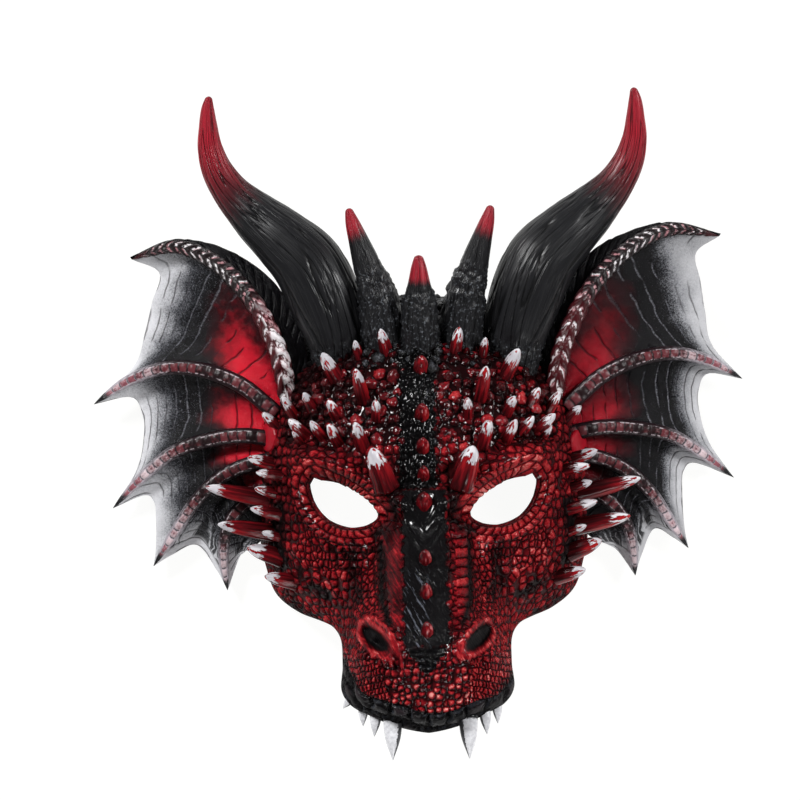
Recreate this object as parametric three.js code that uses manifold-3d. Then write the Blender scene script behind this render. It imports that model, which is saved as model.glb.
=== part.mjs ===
// A half-face dragon mask of soft moulded foam, lying on its back rim and looking up.
// It covers forehead, temples, cheeks and nose, and is open at the back and below the snout.
// One moulding carries two long horns, three short ones, two webbed ear fins, spikes and teeth.
// A round rivet at each temple is a piece of its own.
// Millimetres. +X is the wearer's left, +Y the top of the head, +Z the way the snout points.
import * as THREE from "three";
import { mergeVertices } from "three/addons/utils/BufferGeometryUtils.js";
import Module from "manifold-3d";

const wasm = await Module();
wasm.setup();

// The face: foam thickness, and how its skin falls away
const WALL = 6; // over forehead, temples and cheeks
const LIP_WALL = 8; // of the muzzle's sides
const MUZZLE_WALL = 13; // behind the nose
const MIDDLE_Y = -60; // the face outline is star-shaped about this point
const SIDE_FALL = 11; // how far the forehead falls back towards the temples
const SIDE_FALL_AT = 70;
const FACE_RINGS = 17;
const FACE_SPOKES = 52;
const HOLLOW_RINGS = 7;
const HOLLOW_SPOKES = 32;

// Half outline of the face from the front: x, y, height of its rim there, how square its edge is
const OUTLINE = [
  [0, 60, 0, 7],
  [30, 57, 0, 6],
  [53, 43, 0, 5],
  [69, 21, 0, 4],
  [77, -6, 0, 3.8],
  [78.5, -36, 0, 3.6],
  [75.5, -65, 0, 3.4],
  [70.5, -79, 4, 3.5],
  [60, -87.5, 14, 3.7],
  [50, -91.3, 26, 4],
  [43.4, -94.5, 34, 4.6],
  [39.8, -101, 45, 4.8],
  [39.3, -112, 65, 4.8],
  [39.9, -121.5, 83, 4.8],
  [35.7, -128.3, 93, 5],
  [26.8, -133.1, 99, 5.5],
  [14.6, -138.1, 104, 5.5],
  [0, -141.2, 106, 5.5],
];
// Heights along the middle of the face: with the snout, and of the face behind it
const SNOUT_PROFILE = [
  [-142, 114],
  [-133, 124],
  [-121, 130],
  [-109, 130],
  [-97, 125],
  [-80, 112],
  [-62, 98],
  [-46, 86],
  [-30, 77],
  [-10, 73],
  [15, 69],
  [40, 63],
  [60, 57],
];
const FACE_PROFILE = [
  [-142, 50],
  [-110, 53],
  [-90, 58],
  [-70, 65],
  [-50, 71],
  [-30, 74],
  [-10, 73],
  [15, 69],
  [40, 63],
  [60, 57],
];
// Half width of the snout's back, growing to that of the whole muzzle
const SNOUT_WIDTH = [
  [-142, 60],
  [-112, 50],
  [-102, 43],
  [-90, 34],
  [-72, 25],
  [-52, 18],
  [-34, 14],
  [-10, 12],
];
// Raised folds of each half: the points they run through, half width, height
const FOLDS = [
  { path: [[12, -36], [24, -27], [40, -18], [58, -13.5]], width: 5.5, rise: 9.5 },
  { path: [[22, -50], [34, -54], [48, -49], [59, -36]], width: 5.5, rise: 4 },
  { path: [[18, -50], [18, -86]], width: 4, rise: 3 },
  { path: [[29, -58], [30, -84]], width: 4, rise: 2.5 },
  { path: [[0, 52], [0, -36]], width: 9, rise: 4 },
  { path: [[17, -104], [18, -93], [28, -88.5], [34, -96], [31, -104]], width: 5, rise: 7 },
  { path: [[40, -72], [62, -58]], width: 12, rise: 4 },
  { path: [[36, -122], [18, -132], [0, -135]], width: 5, rise: 4.5 },
];
const EYE_DENT = { x: 38, y: -36, long: 22, short: 14, tilt: 0.42, depth: 9 };

// Value at a place between stops, on a smooth curve
function through(stops, place, column = 1) {
  const last = stops.length - 1;
  if (place <= stops[0][0]) return stops[0][column];
  if (place >= stops[last][0]) return stops[last][column];
  let i = 0;
  while (place > stops[i + 1][0]) i++;
  const slope = (k) => {
    const a = stops[Math.max(0, k - 1)];
    const b = stops[Math.min(last, k + 1)];
    return (b[column] - a[column]) / (b[0] - a[0]);
  };
  const span = stops[i + 1][0] - stops[i][0];
  const t = (place - stops[i][0]) / span;
  const s = 1 - t;
  return (
    stops[i][column] * (1 + 2 * t) * s * s +
    stops[i + 1][column] * (3 - 2 * t) * t * t +
    span * t * s * (slope(i) * s - slope(i + 1) * t)
  );
}

// The outline by angle from the top of the head: angle, radius, rim height, squareness
const AROUND = OUTLINE.map(([x, y, rim, square]) => [
  Math.atan2(x, y - MIDDLE_Y),
  Math.hypot(x, y - MIDDLE_Y),
  rim,
  square,
]);
const outlineRadius = (angle) => through(AROUND, angle);
const rimHeight = (angle) => Math.max(0, through(AROUND, angle, 2));

// Angles that part the whole outline into equal lengths
function evenAngles(count) {
  const fine = 720;
  const at = (i) => {
    const angle = (i / fine) * Math.PI;
    return new THREE.Vector2(Math.sin(angle), Math.cos(angle)).multiplyScalar(outlineRadius(angle));
  };
  const lengths = [0];
  for (let i = 1; i <= fine; i++) lengths.push(lengths[i - 1] + at(i).distanceTo(at(i - 1)));
  const half = [];
  let i = 0;
  for (let k = 0; k <= count / 2; k++) {
    while (i < fine && lengths[i] < (lengths[fine] * k) / (count / 2)) i++;
    half.push((i / fine) * Math.PI);
  }
  const back = half.slice(1, -1).reverse();
  return [...half, ...back.map((angle) => 2 * Math.PI - angle)];
}

function distanceToPath(x, y, path) {
  let least = Infinity;
  for (let i = 0; i + 1 < path.length; i++) {
    const [ax, ay] = path[i];
    const [bx, by] = path[i + 1];
    const along = ((x - ax) * (bx - ax) + (y - ay) * (by - ay)) / ((bx - ax) ** 2 + (by - ay) ** 2);
    const t = Math.min(1, Math.max(0, along));
    least = Math.min(least, Math.hypot(x - ax - t * (bx - ax), y - ay - t * (by - ay)));
  }
  return least;
}

// How far a place lies from the middle of a tilted oval: 1 on its edge
function ovalDistance(x, y, oval) {
  const dx = Math.abs(x) - oval.x;
  const dy = y - oval.y;
  const c = Math.cos(oval.tilt);
  const s = Math.sin(oval.tilt);
  return Math.hypot((dx * c + dy * s) / oval.long, (dy * c - dx * s) / oval.short);
}

function folds(x, y) {
  let height = -EYE_DENT.depth * Math.exp(-(ovalDistance(x, y, EYE_DENT) ** 4));
  for (const { path, width, rise } of FOLDS) {
    height += rise * Math.exp(-((distanceToPath(Math.abs(x), y, path) / width) ** 2));
  }
  return height;
}

// Height of the face before its edge turns down
function faceTop(x, y) {
  const face = through(FACE_PROFILE, y);
  const snout = through(SNOUT_PROFILE, y) - face;
  const across = 1 / (1 + (Math.abs(x) / through(SNOUT_WIDTH, y)) ** 4);
  return face + snout * across - SIDE_FALL * (x / SIDE_FALL_AT) ** 2;
}

const none = () => 0;
const smooth = THREE.MathUtils.smoothstep;
const hollowWall = (angle) => WALL + (LIP_WALL - WALL) * smooth(angle, 2.2, 2.7);
const hollowDrop = (y) => WALL + (MUZZLE_WALL - WALL) * smooth(-y, 60, 105);

// Height of the outer skin, or of the hollow behind it when wall and drop set it in
function faceHeight(x, y, wall = none, drop = none) {
  const angle = Math.atan2(Math.abs(x), y - MIDDLE_Y);
  const share = Math.hypot(x, y - MIDDLE_Y) / (outlineRadius(angle) - wall(angle));
  const edge = Math.sqrt(Math.max(0, 1 - share ** through(AROUND, angle, 3)));
  const top = faceTop(x, y) - drop(y) + (drop(y) ? 0 : folds(x, y));
  return rimHeight(angle) * (1 - edge) + top * edge;
}

function faceNormal(x, y) {
  const step = 0.5;
  return new THREE.Vector3(
    (faceHeight(x - step, y) - faceHeight(x + step, y)) / (2 * step),
    (faceHeight(x, y - step) - faceHeight(x, y + step)) / (2 * step),
    1,
  ).normalize();
}

function turnOver(triangles) {
  for (let i = 0; i < triangles.length; i += 3) {
    [triangles[i + 1], triangles[i + 2]] = [triangles[i + 2], triangles[i + 1]];
  }
}

// A closed mesh as a solid, turned right side out if its faces look inwards
function fromGeometry(geometry) {
  const plain = geometry.clone();
  plain.deleteAttribute("normal");
  plain.deleteAttribute("uv");
  const merged = mergeVertices(plain, 1e-4);
  const vertProperties = new Float32Array(merged.attributes.position.array);
  const triVerts = new Uint32Array(merged.index.array);
  const made = new wasm.Manifold(new wasm.Mesh({ numProp: 3, vertProperties, triVerts }));
  if (made.volume() > 0) return made;
  turnOver(triVerts);
  return new wasm.Manifold(new wasm.Mesh({ numProp: 3, vertProperties, triVerts }));
}

function solid(points, faces) {
  const geometry = new THREE.BufferGeometry();
  const flat = points.flatMap((p) => [p.x, p.y, p.z]);
  geometry.setAttribute("position", new THREE.Float32BufferAttribute(flat, 3));
  geometry.setIndex(faces.flat());
  return fromGeometry(geometry);
}

// Faces between rings of points that lie one after the other
function between(rings) {
  const wide = rings[0].length;
  const faces = [];
  for (let r = 0; r + 1 < rings.length; r++) {
    for (let c = 0; c < wide; c++) {
      const a = r * wide + c;
      const b = r * wide + ((c + 1) % wide);
      faces.push([a, b, b + wide], [a, b + wide, a + wide]);
    }
  }
  return faces;
}

// A closed solid from rings, each end closed by a fan to a point of its own
function solidFromRings(rings, start, end) {
  const wide = rings[0].length;
  const points = [...rings.flat(), start, end];
  const faces = between(rings);
  const last = (rings.length - 1) * wide;
  for (let c = 0; c < wide; c++) {
    const d = (c + 1) % wide;
    faces.push([d, c, points.length - 2], [last + c, last + d, points.length - 1]);
  }
  return solid(points, faces);
}

// The face as rings about its middle, from the rim up; the lip's underside is a level strip
const UNDERSIDE = 0.8; // share of the outline's radius where that strip ends
const BELOW = 12; // how far the hollow reaches past the rim

function faceSolid(ringCount, spokes, wall = none, drop = none) {
  const angles = evenAngles(spokes);
  const hollow = drop(0) > 0;
  const rings = [];
  for (let r = 0; r < ringCount; r++) {
    const share = Math.sin(((1 - r / ringCount) * Math.PI) / 2) ** 0.75;
    const ring = angles.map((turn) => {
      const angle = Math.min(turn, 2 * Math.PI - turn);
      const radius = share * (outlineRadius(angle) - wall(angle));
      const x = radius * Math.sin(turn);
      const y = MIDDLE_Y + radius * Math.cos(turn);
      return new THREE.Vector3(x, y, r === 0 ? rimHeight(angle) : faceHeight(x, y, wall, drop));
    });
    rings.push(ring);
  }
  const share = hollow ? 1 : UNDERSIDE;
  const fall = hollow ? BELOW : 0;
  const under = rings[0].map(
    (p) => new THREE.Vector3(share * p.x, MIDDLE_Y + share * (p.y - MIDDLE_Y), p.z - fall),
  );
  const floor = new THREE.Vector3(0, MIDDLE_Y, -fall);
  const summit = new THREE.Vector3(0, MIDDLE_Y, faceHeight(0, MIDDLE_Y, wall, drop));
  return solidFromRings([under, ...rings], floor, summit);
}

function curveThrough(stations) {
  const points = stations.map(([x, y, z]) => new THREE.Vector3(x, y, z));
  return new THREE.CatmullRomCurve3(points, false, "catmullrom");
}

// A tapered limb through stations of x, y, z and radius, ending in a point
function limb(stations, sides, steps, depth = 1) {
  const curve = curveThrough(stations);
  const radii = stations.map((station, i) => [i / (stations.length - 1), station[3]]);
  const front = new THREE.Vector3(0, 0, 1);
  const rings = [];
  for (let i = 0; i < steps; i++) {
    const t = i / steps;
    const middle = curve.getPoint(t);
    const ahead = curve.getTangent(t);
    const side = new THREE.Vector3().crossVectors(ahead, front).normalize();
    const up = new THREE.Vector3().crossVectors(side, ahead);
    const radius = through(radii, t);
    const ring = [];
    for (let k = 0; k < sides; k++) {
      const turn = (k / sides) * 2 * Math.PI;
      const point = middle.clone().addScaledVector(side, radius * Math.cos(turn));
      ring.push(point.addScaledVector(up, radius * depth * Math.sin(turn)));
    }
    rings.push(ring);
  }
  return solidFromRings(rings, curve.getPoint(0), curve.getPoint(1));
}

const HORN_DEPTH = 0.85; // a long horn is a little flatter than it is wide
const LONG_HORN = [
  [38.5, 22, 34, 13],
  [41, 40, 38, 14.8],
  [46.5, 58, 41, 17],
  [54.3, 75, 42, 16.8],
  [66, 87.5, 41, 14.6],
  [78, 98.2, 39, 12],
  [89, 109.4, 38, 9],
  [95.9, 120.2, 39, 7.4],
  [99.2, 131, 41, 5.9],
  [99.8, 141, 44, 4.4],
  [99.8, 149, 46, 3.1],
  [99, 155, 47.5, 1.4],
];
const SIDE_HORN = [
  [17.5, 38, 44, 10.5],
  [20, 57, 50, 9.7],
  [24.6, 73, 53.5, 6.9],
  [28.4, 85, 56, 4.9],
  [31.3, 94, 57.7, 3.4],
  [33.2, 101, 59, 1.6],
];
const MIDDLE_HORN = [
  [0, 40, 52, 9.6],
  [0, 55, 57, 8.4],
  [0, 65, 60, 5.4],
  [0, 73, 62, 3.6],
  [0, 78.4, 63.5, 1.8],
];
// The soft horns lean a little to the wearer's left
const LONG_LEAN = 2.9;
const SIDE_LEAN = 1;

// An ear fin as lines from root to tip: its outer flange, five ribs, and where it meets the cheek
const FIN_LINES = [
  [[52, 22, 32], [56, 48, 36], [71, 71, 38], [93, 85.5, 37], [117, 90.5, 33], [138.6, 83.8, 27]],
  [[62, 12, 32], [67, 36, 39], [78, 59, 43], [95, 77.5, 42], [116, 87, 36], [137.8, 82.6, 27]],
  [[68, 6, 30], [84, 20, 31], [102, 27.8, 29], [120, 29.6, 24.5], [137, 24.6, 19], [152.9, 15, 13]],
  [[69, -6, 28], [84, -3.6, 27], [100, -4.8, 24], [117, -9.3, 19.5], [132, -19.5, 14], [146.6, -32.6, 9]],
  [[69, -15, 26], [84, -18, 25], [97, -24.5, 22], [108, -35.5, 18], [117, -49, 13.5], [126, -63, 9]],
  [[69, -27, 23], [80, -33, 22], [89.5, -40.5, 20], [95, -51, 16], [96.6, -63, 12], [96.2, -75.2, 9]],
  [[68, -42, 20], [71, -47, 19], [74.5, -51, 18], [78, -54.5, 17], [82, -57, 15.5], [86, -58.5, 14]],
];
// The web's free edge between neighbouring lines: share of the way, x, y
const FIN_EDGES = [
  [[0.5, 138.3, 83.2]],
  [[0.18, 126, 75.5], [0.35, 129, 62], [0.55, 131.8, 48], [0.82, 136.5, 31.5]],
  [[0.18, 136, 18], [0.35, 131.2, 10], [0.5, 131, 1], [0.82, 135.5, -16]],
  [[0.18, 130, -26], [0.35, 125, -29.5], [0.5, 124.2, -37], [0.82, 124.6, -54]],
  [[0.18, 118.5, -58], [0.5, 107.8, -53.5], [0.82, 100, -66]],
  [[0.5, 90, -63]],
];
// How far each bay's edge is drawn in on either side, and where the tips stand; foam isn't even
const EDGE_DRAWN = {
  left: [1, 0.88, 0.97, 1.1, 1, 1],
  right: [1, 1.12, 1.03, 0.9, 1, 1],
};
const FIN_TIPS = {
  left: [[141.5, 85.2], [151.8, 18], [147, -28.6], [124.8, -61.5], [99.4, -73.9]],
  right: [[134.6, 80.1], [154.6, 12.4], [146.8, -36.9], [128.2, -64.7], [93.4, -76.8]],
};
const RIB_RADII = [3.8, 2.7, 2.6, 2.5, 2.4];
const RIB_TAPER = 0.55; // share of its radius that a rib has lost near the tip
const WEB_ROWS = 6;
const WEB_STEPS = [0, 0.18, 0.5, 0.82];
const WEB = 3; // thickness at the root
const WEB_EDGE = 1.8;
const WEB_SAG = 5; // how far the web falls back between two ribs

// The fin's front: along from root to edge, across from the flange to the cheek
function finFront(side) {
  const tips = FIN_TIPS[side];
  const curves = FIN_LINES.map(curveThrough);
  const shifts = FIN_LINES.map((line, k) => {
    const tip = tips[Math.max(0, k - 1)];
    const [x, y] = FIN_LINES[Math.max(1, k)].at(-1);
    return tip ? new THREE.Vector3(tip[0] - x, tip[1] - y, 0) : new THREE.Vector3();
  });
  const line = (k, along) => curves[k].getPoint(along).addScaledVector(shifts[k], along ** 2);
  const bays = FIN_EDGES.map((stops, k) => {
    const [x0, y0] = FIN_LINES[k].at(-1);
    const [x1, y1] = FIN_LINES[k + 1].at(-1);
    return [[0, x0, y0], ...stops, [1, x1, y1]];
  });
  const web = (along, across) => {
    const k = Math.min(bays.length - 1, Math.floor(across));
    const share = across - k;
    const [, x0, y0] = bays[k][0];
    const [, x1, y1] = bays[k].at(-1);
    const drawnIn = EDGE_DRAWN[side][k] * along ** 2;
    const dx = through(bays[k], share, 1) - x0 - share * (x1 - x0);
    const dy = through(bays[k], share, 2) - y0 - share * (y1 - y0);
    const sag = k === 0 ? 0 : WEB_SAG * Math.sin(Math.PI * share) * Math.sin(Math.PI * (0.2 + 0.65 * along));
    const point = line(k, along).lerp(line(k + 1, along), share);
    return point.add(new THREE.Vector3(dx * drawnIn, dy * drawnIn, -sag));
  };
  return { line, web };
}

function fin(side) {
  const { line, web } = finFront(side);
  const last = FIN_EDGES.length;
  const across = [0, 0.5];
  for (let k = 1; k < last - 1; k++) across.push(...WEB_STEPS.map((step) => k + step));
  across.push(last - 1, last - 0.5, last);
  const rings = [];
  for (let i = 0; i <= WEB_ROWS; i++) {
    const along = i / WEB_ROWS;
    const front = across.map((w) => web(along, w));
    const rear = front.map((p) => p.clone().setZ(p.z - WEB + (WEB - WEB_EDGE) * along));
    rings.push([...front, ...rear.reverse()]);
  }
  const faces = between(rings);
  const wide = 2 * across.length;
  const end = (rings.length - 1) * wide;
  for (let c = 0; c + 1 < across.length; c++) {
    const d = wide - 1 - c;
    faces.push([c + 1, c, d], [c + 1, d, d - 1]);
    faces.push([end + c, end + c + 1, end + d], [end + c + 1, end + d - 1, end + d]);
  }
  let made = solid(rings.flat(), faces);
  RIB_RADII.forEach((radius, k) => {
    const stations = FIN_LINES[k + 1].map((_, i, all) => {
      const along = i / (all.length - 1);
      return [...line(k + 1, along), radius * (1 - RIB_TAPER * along ** 2)];
    });
    made = made.add(limb(stations, 5, 6));
  });
  return made;
}

// Spikes of one side: tip x and y, root x and y, radius
const SPIKES = [
  [18.4, 44.7, 16.3, 35.5, 2.6],
  [30.5, 39.7, 29.2, 33.4, 1.9],
  [45.8, 34.1, 40, 23.6, 3.3],
  [30.3, 26.2, 27.6, 13.6, 3],
  [55, 15.8, 51.4, 9.8, 2.4],
  [43.3, 12, 40.3, 6.2, 2.6],
  [64.8, 14.3, 59.6, 5.4, 2.4],
  [74.8, 7, 68.6, 1, 2.4],
  [62, 3.5, 55, -3.2, 2.7],
  [51.8, 2.6, 47.2, -4, 2.3],
  [43.6, 1.3, 39.2, -7.3, 2.6],
  [31.1, 1.5, 28.2, -8.6, 3],
  [23.4, -10.4, 18, -26.5, 5],
  [21.3, 11.8, 21.2, 4.7, 2.3],
  [60.2, -1.4, 57, -6, 2],
  [79.6, -1.4, 74, -4, 2],
  [82, -14, 71, -17.5, 2.8],
  [78, -21, 67, -22.5, 2.5],
  [79, -28.5, 70, -31, 2.4],
  [102.2, -27.4, 74, -34, 3.6],
  [81.2, -37.7, 68.5, -41, 2.6],
  [96.8, -45, 72, -49.5, 3.6],
  [76, -49, 69, -51.5, 2],
  [83.1, -56.2, 69.5, -61, 3.8],
  [75.2, -69.5, 63, -72.5, 3.2],
];
// Spikes down the middle of the face: y and radius
const CREST = [
  [27.3, 2.8],
  [5.5, 2.8],
  [-10, 2.6],
  [-23, 2.3],
  [-36, 3.2],
  [-62.2, 2.5],
  [-77.3, 2.5],
  [-94.4, 2.5],
];
const SPIKE_LIFT = 0.95; // rise for each millimetre sideways, where the face looks forward
const SPIKE_SINK = 3; // how deep a root sits in the foam
const SPIKE_SIDES = 5;
const SMALL_SPIKE = 2.5; // a spike thinner than this has four sides
const CREST_HEIGHT = 6;

function spike(root, tip, radius) {
  const heading = tip.clone().sub(root).normalize();
  const start = root.clone().addScaledVector(heading, -SPIKE_SINK);
  const middle = root.clone().lerp(tip, 0.6);
  const stations = [
    [...start, radius * 1.1],
    [...middle, radius * 0.78],
    [...tip, 0],
  ];
  return limb(stations, radius < SMALL_SPIKE ? 4 : SPIKE_SIDES, 2);
}

function sideSpike([tipX, tipY, rootX, rootY, radius]) {
  const root = new THREE.Vector3(rootX, rootY, faceHeight(rootX, rootY));
  const run = Math.hypot(tipX - rootX, tipY - rootY);
  const lift = SPIKE_LIFT * faceNormal(rootX, rootY).z ** 1.5;
  return spike(root, new THREE.Vector3(tipX, tipY, root.z + run * lift), radius);
}

function crestSpike([y, radius]) {
  const root = new THREE.Vector3(0, y, faceHeight(0, y));
  const heading = faceNormal(0, y).add(new THREE.Vector3(0, 0.5, 0)).normalize();
  return spike(root, root.clone().addScaledVector(heading, CREST_HEIGHT), radius);
}

// Teeth of one side, from the fang outwards: tip x and y, root x and y, radius
const TEETH = [
  [17.6, -153.4, 17.2, -133, 4.5],
  [25.9, -142.7, 24.8, -130.5, 2.9],
  [31, -138.1, 30.6, -127.5, 2.6],
];
const SMALL_TOOTH = [39.3, -129.8, 35, -124.5, 2.2]; // on the wearer's right only
const TEETH_LEAN = 0.8; // the teeth too stand a little to the wearer's left
const TOOTH_HEIGHT = 107; // where the fangs stand in the lip
const TOOTH_BACK = 0.9; // how much lower each tooth sits, for each millimetre outwards

function tooth([tipX, tipY, rootX, rootY, radius]) {
  const z = TOOTH_HEIGHT - TOOTH_BACK * (rootX - TEETH[0][2]);
  const stations = [
    [rootX, rootY, z, radius],
    [(rootX + tipX) / 2, (rootY + tipY) / 2, z + 1.5, radius * 0.78],
    [tipX, tipY, z, 0],
  ];
  return limb(stations, 6, 3, 0.7);
}

const EYE = {
  inner: [22.8, -42.7],
  brow: [31, -31],
  outer: [50.8, -24],
  side: [52.6, -27],
  low: [49, -38],
  under: [32, -46.3],
};

function eyeHole() {
  const { inner, brow, outer, side, low, under } = EYE;
  const shape = new THREE.Shape();
  shape.moveTo(...inner);
  shape.quadraticCurveTo(...brow, ...outer);
  shape.lineTo(...side);
  shape.quadraticCurveTo(52.5, -32, ...low);
  shape.quadraticCurveTo(43, -46.5, ...under);
  shape.quadraticCurveTo(25, -46.3, ...inner);
  const depth = 160;
  const cut = new THREE.ExtrudeGeometry(shape, { depth, bevelEnabled: false, curveSegments: 3 });
  return fromGeometry(cut.translate(0, 0, -BELOW));
}

const NOSTRIL = { x: 23.8, y: -97.6, long: 8.6, short: 4, tilt: 0.71, depth: 9 };

function nostrilHole() {
  const cut = new THREE.SphereGeometry(1, 12, 6).rotateX(Math.PI / 2);
  cut.scale(NOSTRIL.long, NOSTRIL.short, NOSTRIL.depth);
  cut.rotateZ(NOSTRIL.tilt);
  cut.translate(NOSTRIL.x, NOSTRIL.y, faceHeight(NOSTRIL.x, NOSTRIL.y));
  return fromGeometry(cut);
}

// The strap's rivets at the temples, each a little where the hand put it
const RIVET = { radius: 7, rise: 2.6, rim: 1, tilt: 1.02 };
const RIVETS = { left: [72.6, -11], right: [71.4, -4.8] };
const RIVET_GAP = 0.3;

function rivetAt(geometry, [x, y]) {
  geometry.rotateX(Math.PI / 2);
  geometry.rotateY(RIVET.tilt);
  return geometry.translate(x, y, faceHeight(x, y));
}

function rivet(place) {
  const { radius, rise, rim } = RIVET;
  const profile = [new THREE.Vector2(0, 0), new THREE.Vector2(radius, 0), new THREE.Vector2(radius, rim)];
  for (const turn of [0.4, 0.8, 1.2]) {
    profile.push(new THREE.Vector2(radius * Math.cos(turn), rim + (rise - rim) * Math.sin(turn)));
  }
  profile.push(new THREE.Vector2(0, rise));
  return rivetAt(new THREE.LatheGeometry(profile, 18), place);
}

// Room for a rivet: a round seat just under it, open outwards
function rivetSeat(place) {
  const radius = RIVET.radius + RIVET_GAP;
  const height = 14;
  const seat = new THREE.CylinderGeometry(radius, radius, height, 18);
  seat.translate(0, height / 2 - RIVET_GAP, 0);
  return fromGeometry(rivetAt(seat, place));
}

const otherSide = (made) => made.mirror([1, 0, 0]);
const pair = (left, lean = 0) => [left, otherSide(left)].map((made) => made.translate([lean, 0, 0]));

function moulding() {
  const adds = [
    ...pair(limb(LONG_HORN, 9, 14, HORN_DEPTH), LONG_LEAN),
    ...pair(limb(SIDE_HORN, 8, 6), SIDE_LEAN),
    limb(MIDDLE_HORN, 8, 5),
    fin("left"),
    otherSide(fin("right")),
    ...SPIKES.flatMap((row) => pair(sideSpike(row))),
    ...CREST.map(crestSpike),
    ...TEETH.flatMap((row) => pair(tooth(row), TEETH_LEAN)),
    otherSide(tooth(SMALL_TOOTH)),
  ];
  const cuts = [
    faceSolid(HOLLOW_RINGS, HOLLOW_SPOKES, hollowWall, hollowDrop),
    ...pair(eyeHole()),
    ...pair(nostrilHole()),
    rivetSeat(RIVETS.left),
    otherSide(rivetSeat(RIVETS.right)),
  ];
  const whole = adds.reduce((mask, piece) => mask.add(piece), faceSolid(FACE_RINGS, FACE_SPOKES));
  const open = cuts.reduce((mask, piece) => mask.subtract(piece), whole);
  return open.decompose().sort((a, b) => b.volume() - a.volume())[0];
}

function toGeometry(made) {
  const { vertProperties, triVerts, numProp } = made.getMesh();
  const geometry = new THREE.BufferGeometry();
  const positions = new Float32Array((vertProperties.length / numProp) * 3);
  for (let i = 0; i < positions.length / 3; i++) {
    positions.set(vertProperties.subarray(i * numProp, i * numProp + 3), i * 3);
  }
  geometry.setAttribute("position", new THREE.BufferAttribute(positions, 3));
  geometry.setIndex(new THREE.BufferAttribute(triVerts, 1));
  geometry.computeVertexNormals();
  return geometry;
}

const foam = new THREE.MeshStandardMaterial({ color: 0x7a1216, roughness: 0.45, metalness: 0 });
const rivetRed = new THREE.MeshStandardMaterial({ color: 0xb01424, roughness: 0.4, metalness: 0 });
const dragonMask = new THREE.Group();

function add(geometry, material, name) {
  const piece = new THREE.Mesh(geometry, material);
  piece.name = name;
  dragonMask.add(piece);
}

add(toGeometry(moulding()), foam, "mask");
add(rivet(RIVETS.left), rivetRed, "strap_rivet_left");
const rightRivet = rivet(RIVETS.right).scale(-1, 1, 1);
turnOver(rightRivet.index.array);
add(rightRivet, rivetRed, "strap_rivet_right");

// The origin is under the middle of the whole mask, on the surface that it lies on
const box = new THREE.Box3().setFromObject(dragonMask);
dragonMask.position.set(-(box.min.x + box.max.x) / 2, -(box.min.y + box.max.y) / 2, -box.min.z);

export default dragonMask;
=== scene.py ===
# %% [markdown]
# # A dragon mask of painted foam
#
# A half-face mask is cast in soft foam in one mould and then painted: black and crimson first,
# then white on every tip, and last a nearly dry brush that catches only what stands proud.
# It lies on its back rim and the camera looks straight down on it.
#
# Such a mask could be sculpted by hand. Here rules with named sizes make every form instead,
# because a rule can be read, measured and changed, and gives the same mask on every run.
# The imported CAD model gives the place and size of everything, so it comes first.

import bpy
import numpy as np
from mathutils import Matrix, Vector


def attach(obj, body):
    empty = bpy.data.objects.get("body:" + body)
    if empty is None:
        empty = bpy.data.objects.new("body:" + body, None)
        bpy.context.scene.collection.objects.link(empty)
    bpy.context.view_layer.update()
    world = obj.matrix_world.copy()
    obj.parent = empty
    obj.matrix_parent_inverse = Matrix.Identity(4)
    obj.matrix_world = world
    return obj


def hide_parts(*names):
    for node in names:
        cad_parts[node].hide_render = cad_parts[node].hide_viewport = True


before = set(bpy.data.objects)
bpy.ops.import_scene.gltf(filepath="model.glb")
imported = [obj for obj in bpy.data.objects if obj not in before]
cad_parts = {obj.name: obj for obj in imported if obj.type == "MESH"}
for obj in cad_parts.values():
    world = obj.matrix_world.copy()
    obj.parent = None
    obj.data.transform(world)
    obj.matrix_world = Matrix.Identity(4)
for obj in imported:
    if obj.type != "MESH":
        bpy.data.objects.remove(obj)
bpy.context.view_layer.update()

print("nodes:", sorted(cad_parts))

# %% [markdown]
# ## Camera, floor and light
#
# The mask was photographed from straight above its face, turned a little over one degree.
# The camera stands three metres off, which keeps the horns' perspective small.
# Sizes are written in the millimetres of the CAD source, and one function puts them in place.

# %% Camera
MM = 0.001
ORIGIN = np.array([1.4, -0.8, 0.0])  # what the CAD model was moved by, in mm
PLANE = 45  # the height at which the scale was read
SCALE = 0.467  # mm for each pixel there
PIXELS = 800  # across the picture
PHOTO_TURN = np.radians(1.22)
CAMERA_DISTANCE = 3000
CENTRE = (-10.03, 11.42)  # what lies in the middle of the picture
SENSOR = 36


def place(points):
    """Metres in the model's frame from millimetres of the design."""
    return (np.asarray(points, float) + ORIGIN) * MM


def add(name, data):
    """A new object in the scene."""
    made = bpy.data.objects.new(name, data)
    bpy.context.collection.objects.link(made)
    return made


camera = add("camera", bpy.data.cameras.new("camera"))
camera.location = place([*CENTRE, PLANE + CAMERA_DISTANCE])
camera.rotation_euler = (0, 0, -PHOTO_TURN)
camera.data.sensor_width = SENSOR
camera.data.lens = SENSOR * CAMERA_DISTANCE / (PIXELS * SCALE)
camera.data.clip_end = 10  # metres
bpy.context.scene.camera = camera
print("lens:", round(camera.data.lens, 1))

# %% [markdown]
# The background is a plain, nearly white table. Three soft lamps, the strongest of them at the
# upper left, draw the small glints on the glossy paint, and the sky lights the shadows.
# One large lamp would light the mask as well, but only small lamps give small glints.

# %% Floor and lights
LAMP_SIZE = 0.3
SKY = 0.09
FLOOR = 4  # metres from its middle to each side
# place, what it points at, power in watts
LAMPS = {
    "lamp_left": ((-0.85, 0.85, 1.05), (0, 0, 0.05), 22),
    "lamp_right": ((1.05, 0.4, 0.95), (0, 0, 0.05), 12),
    "lamp_below": ((0.25, -1.3, 0.9), (0, -0.05, 0.05), 7),
}

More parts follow.
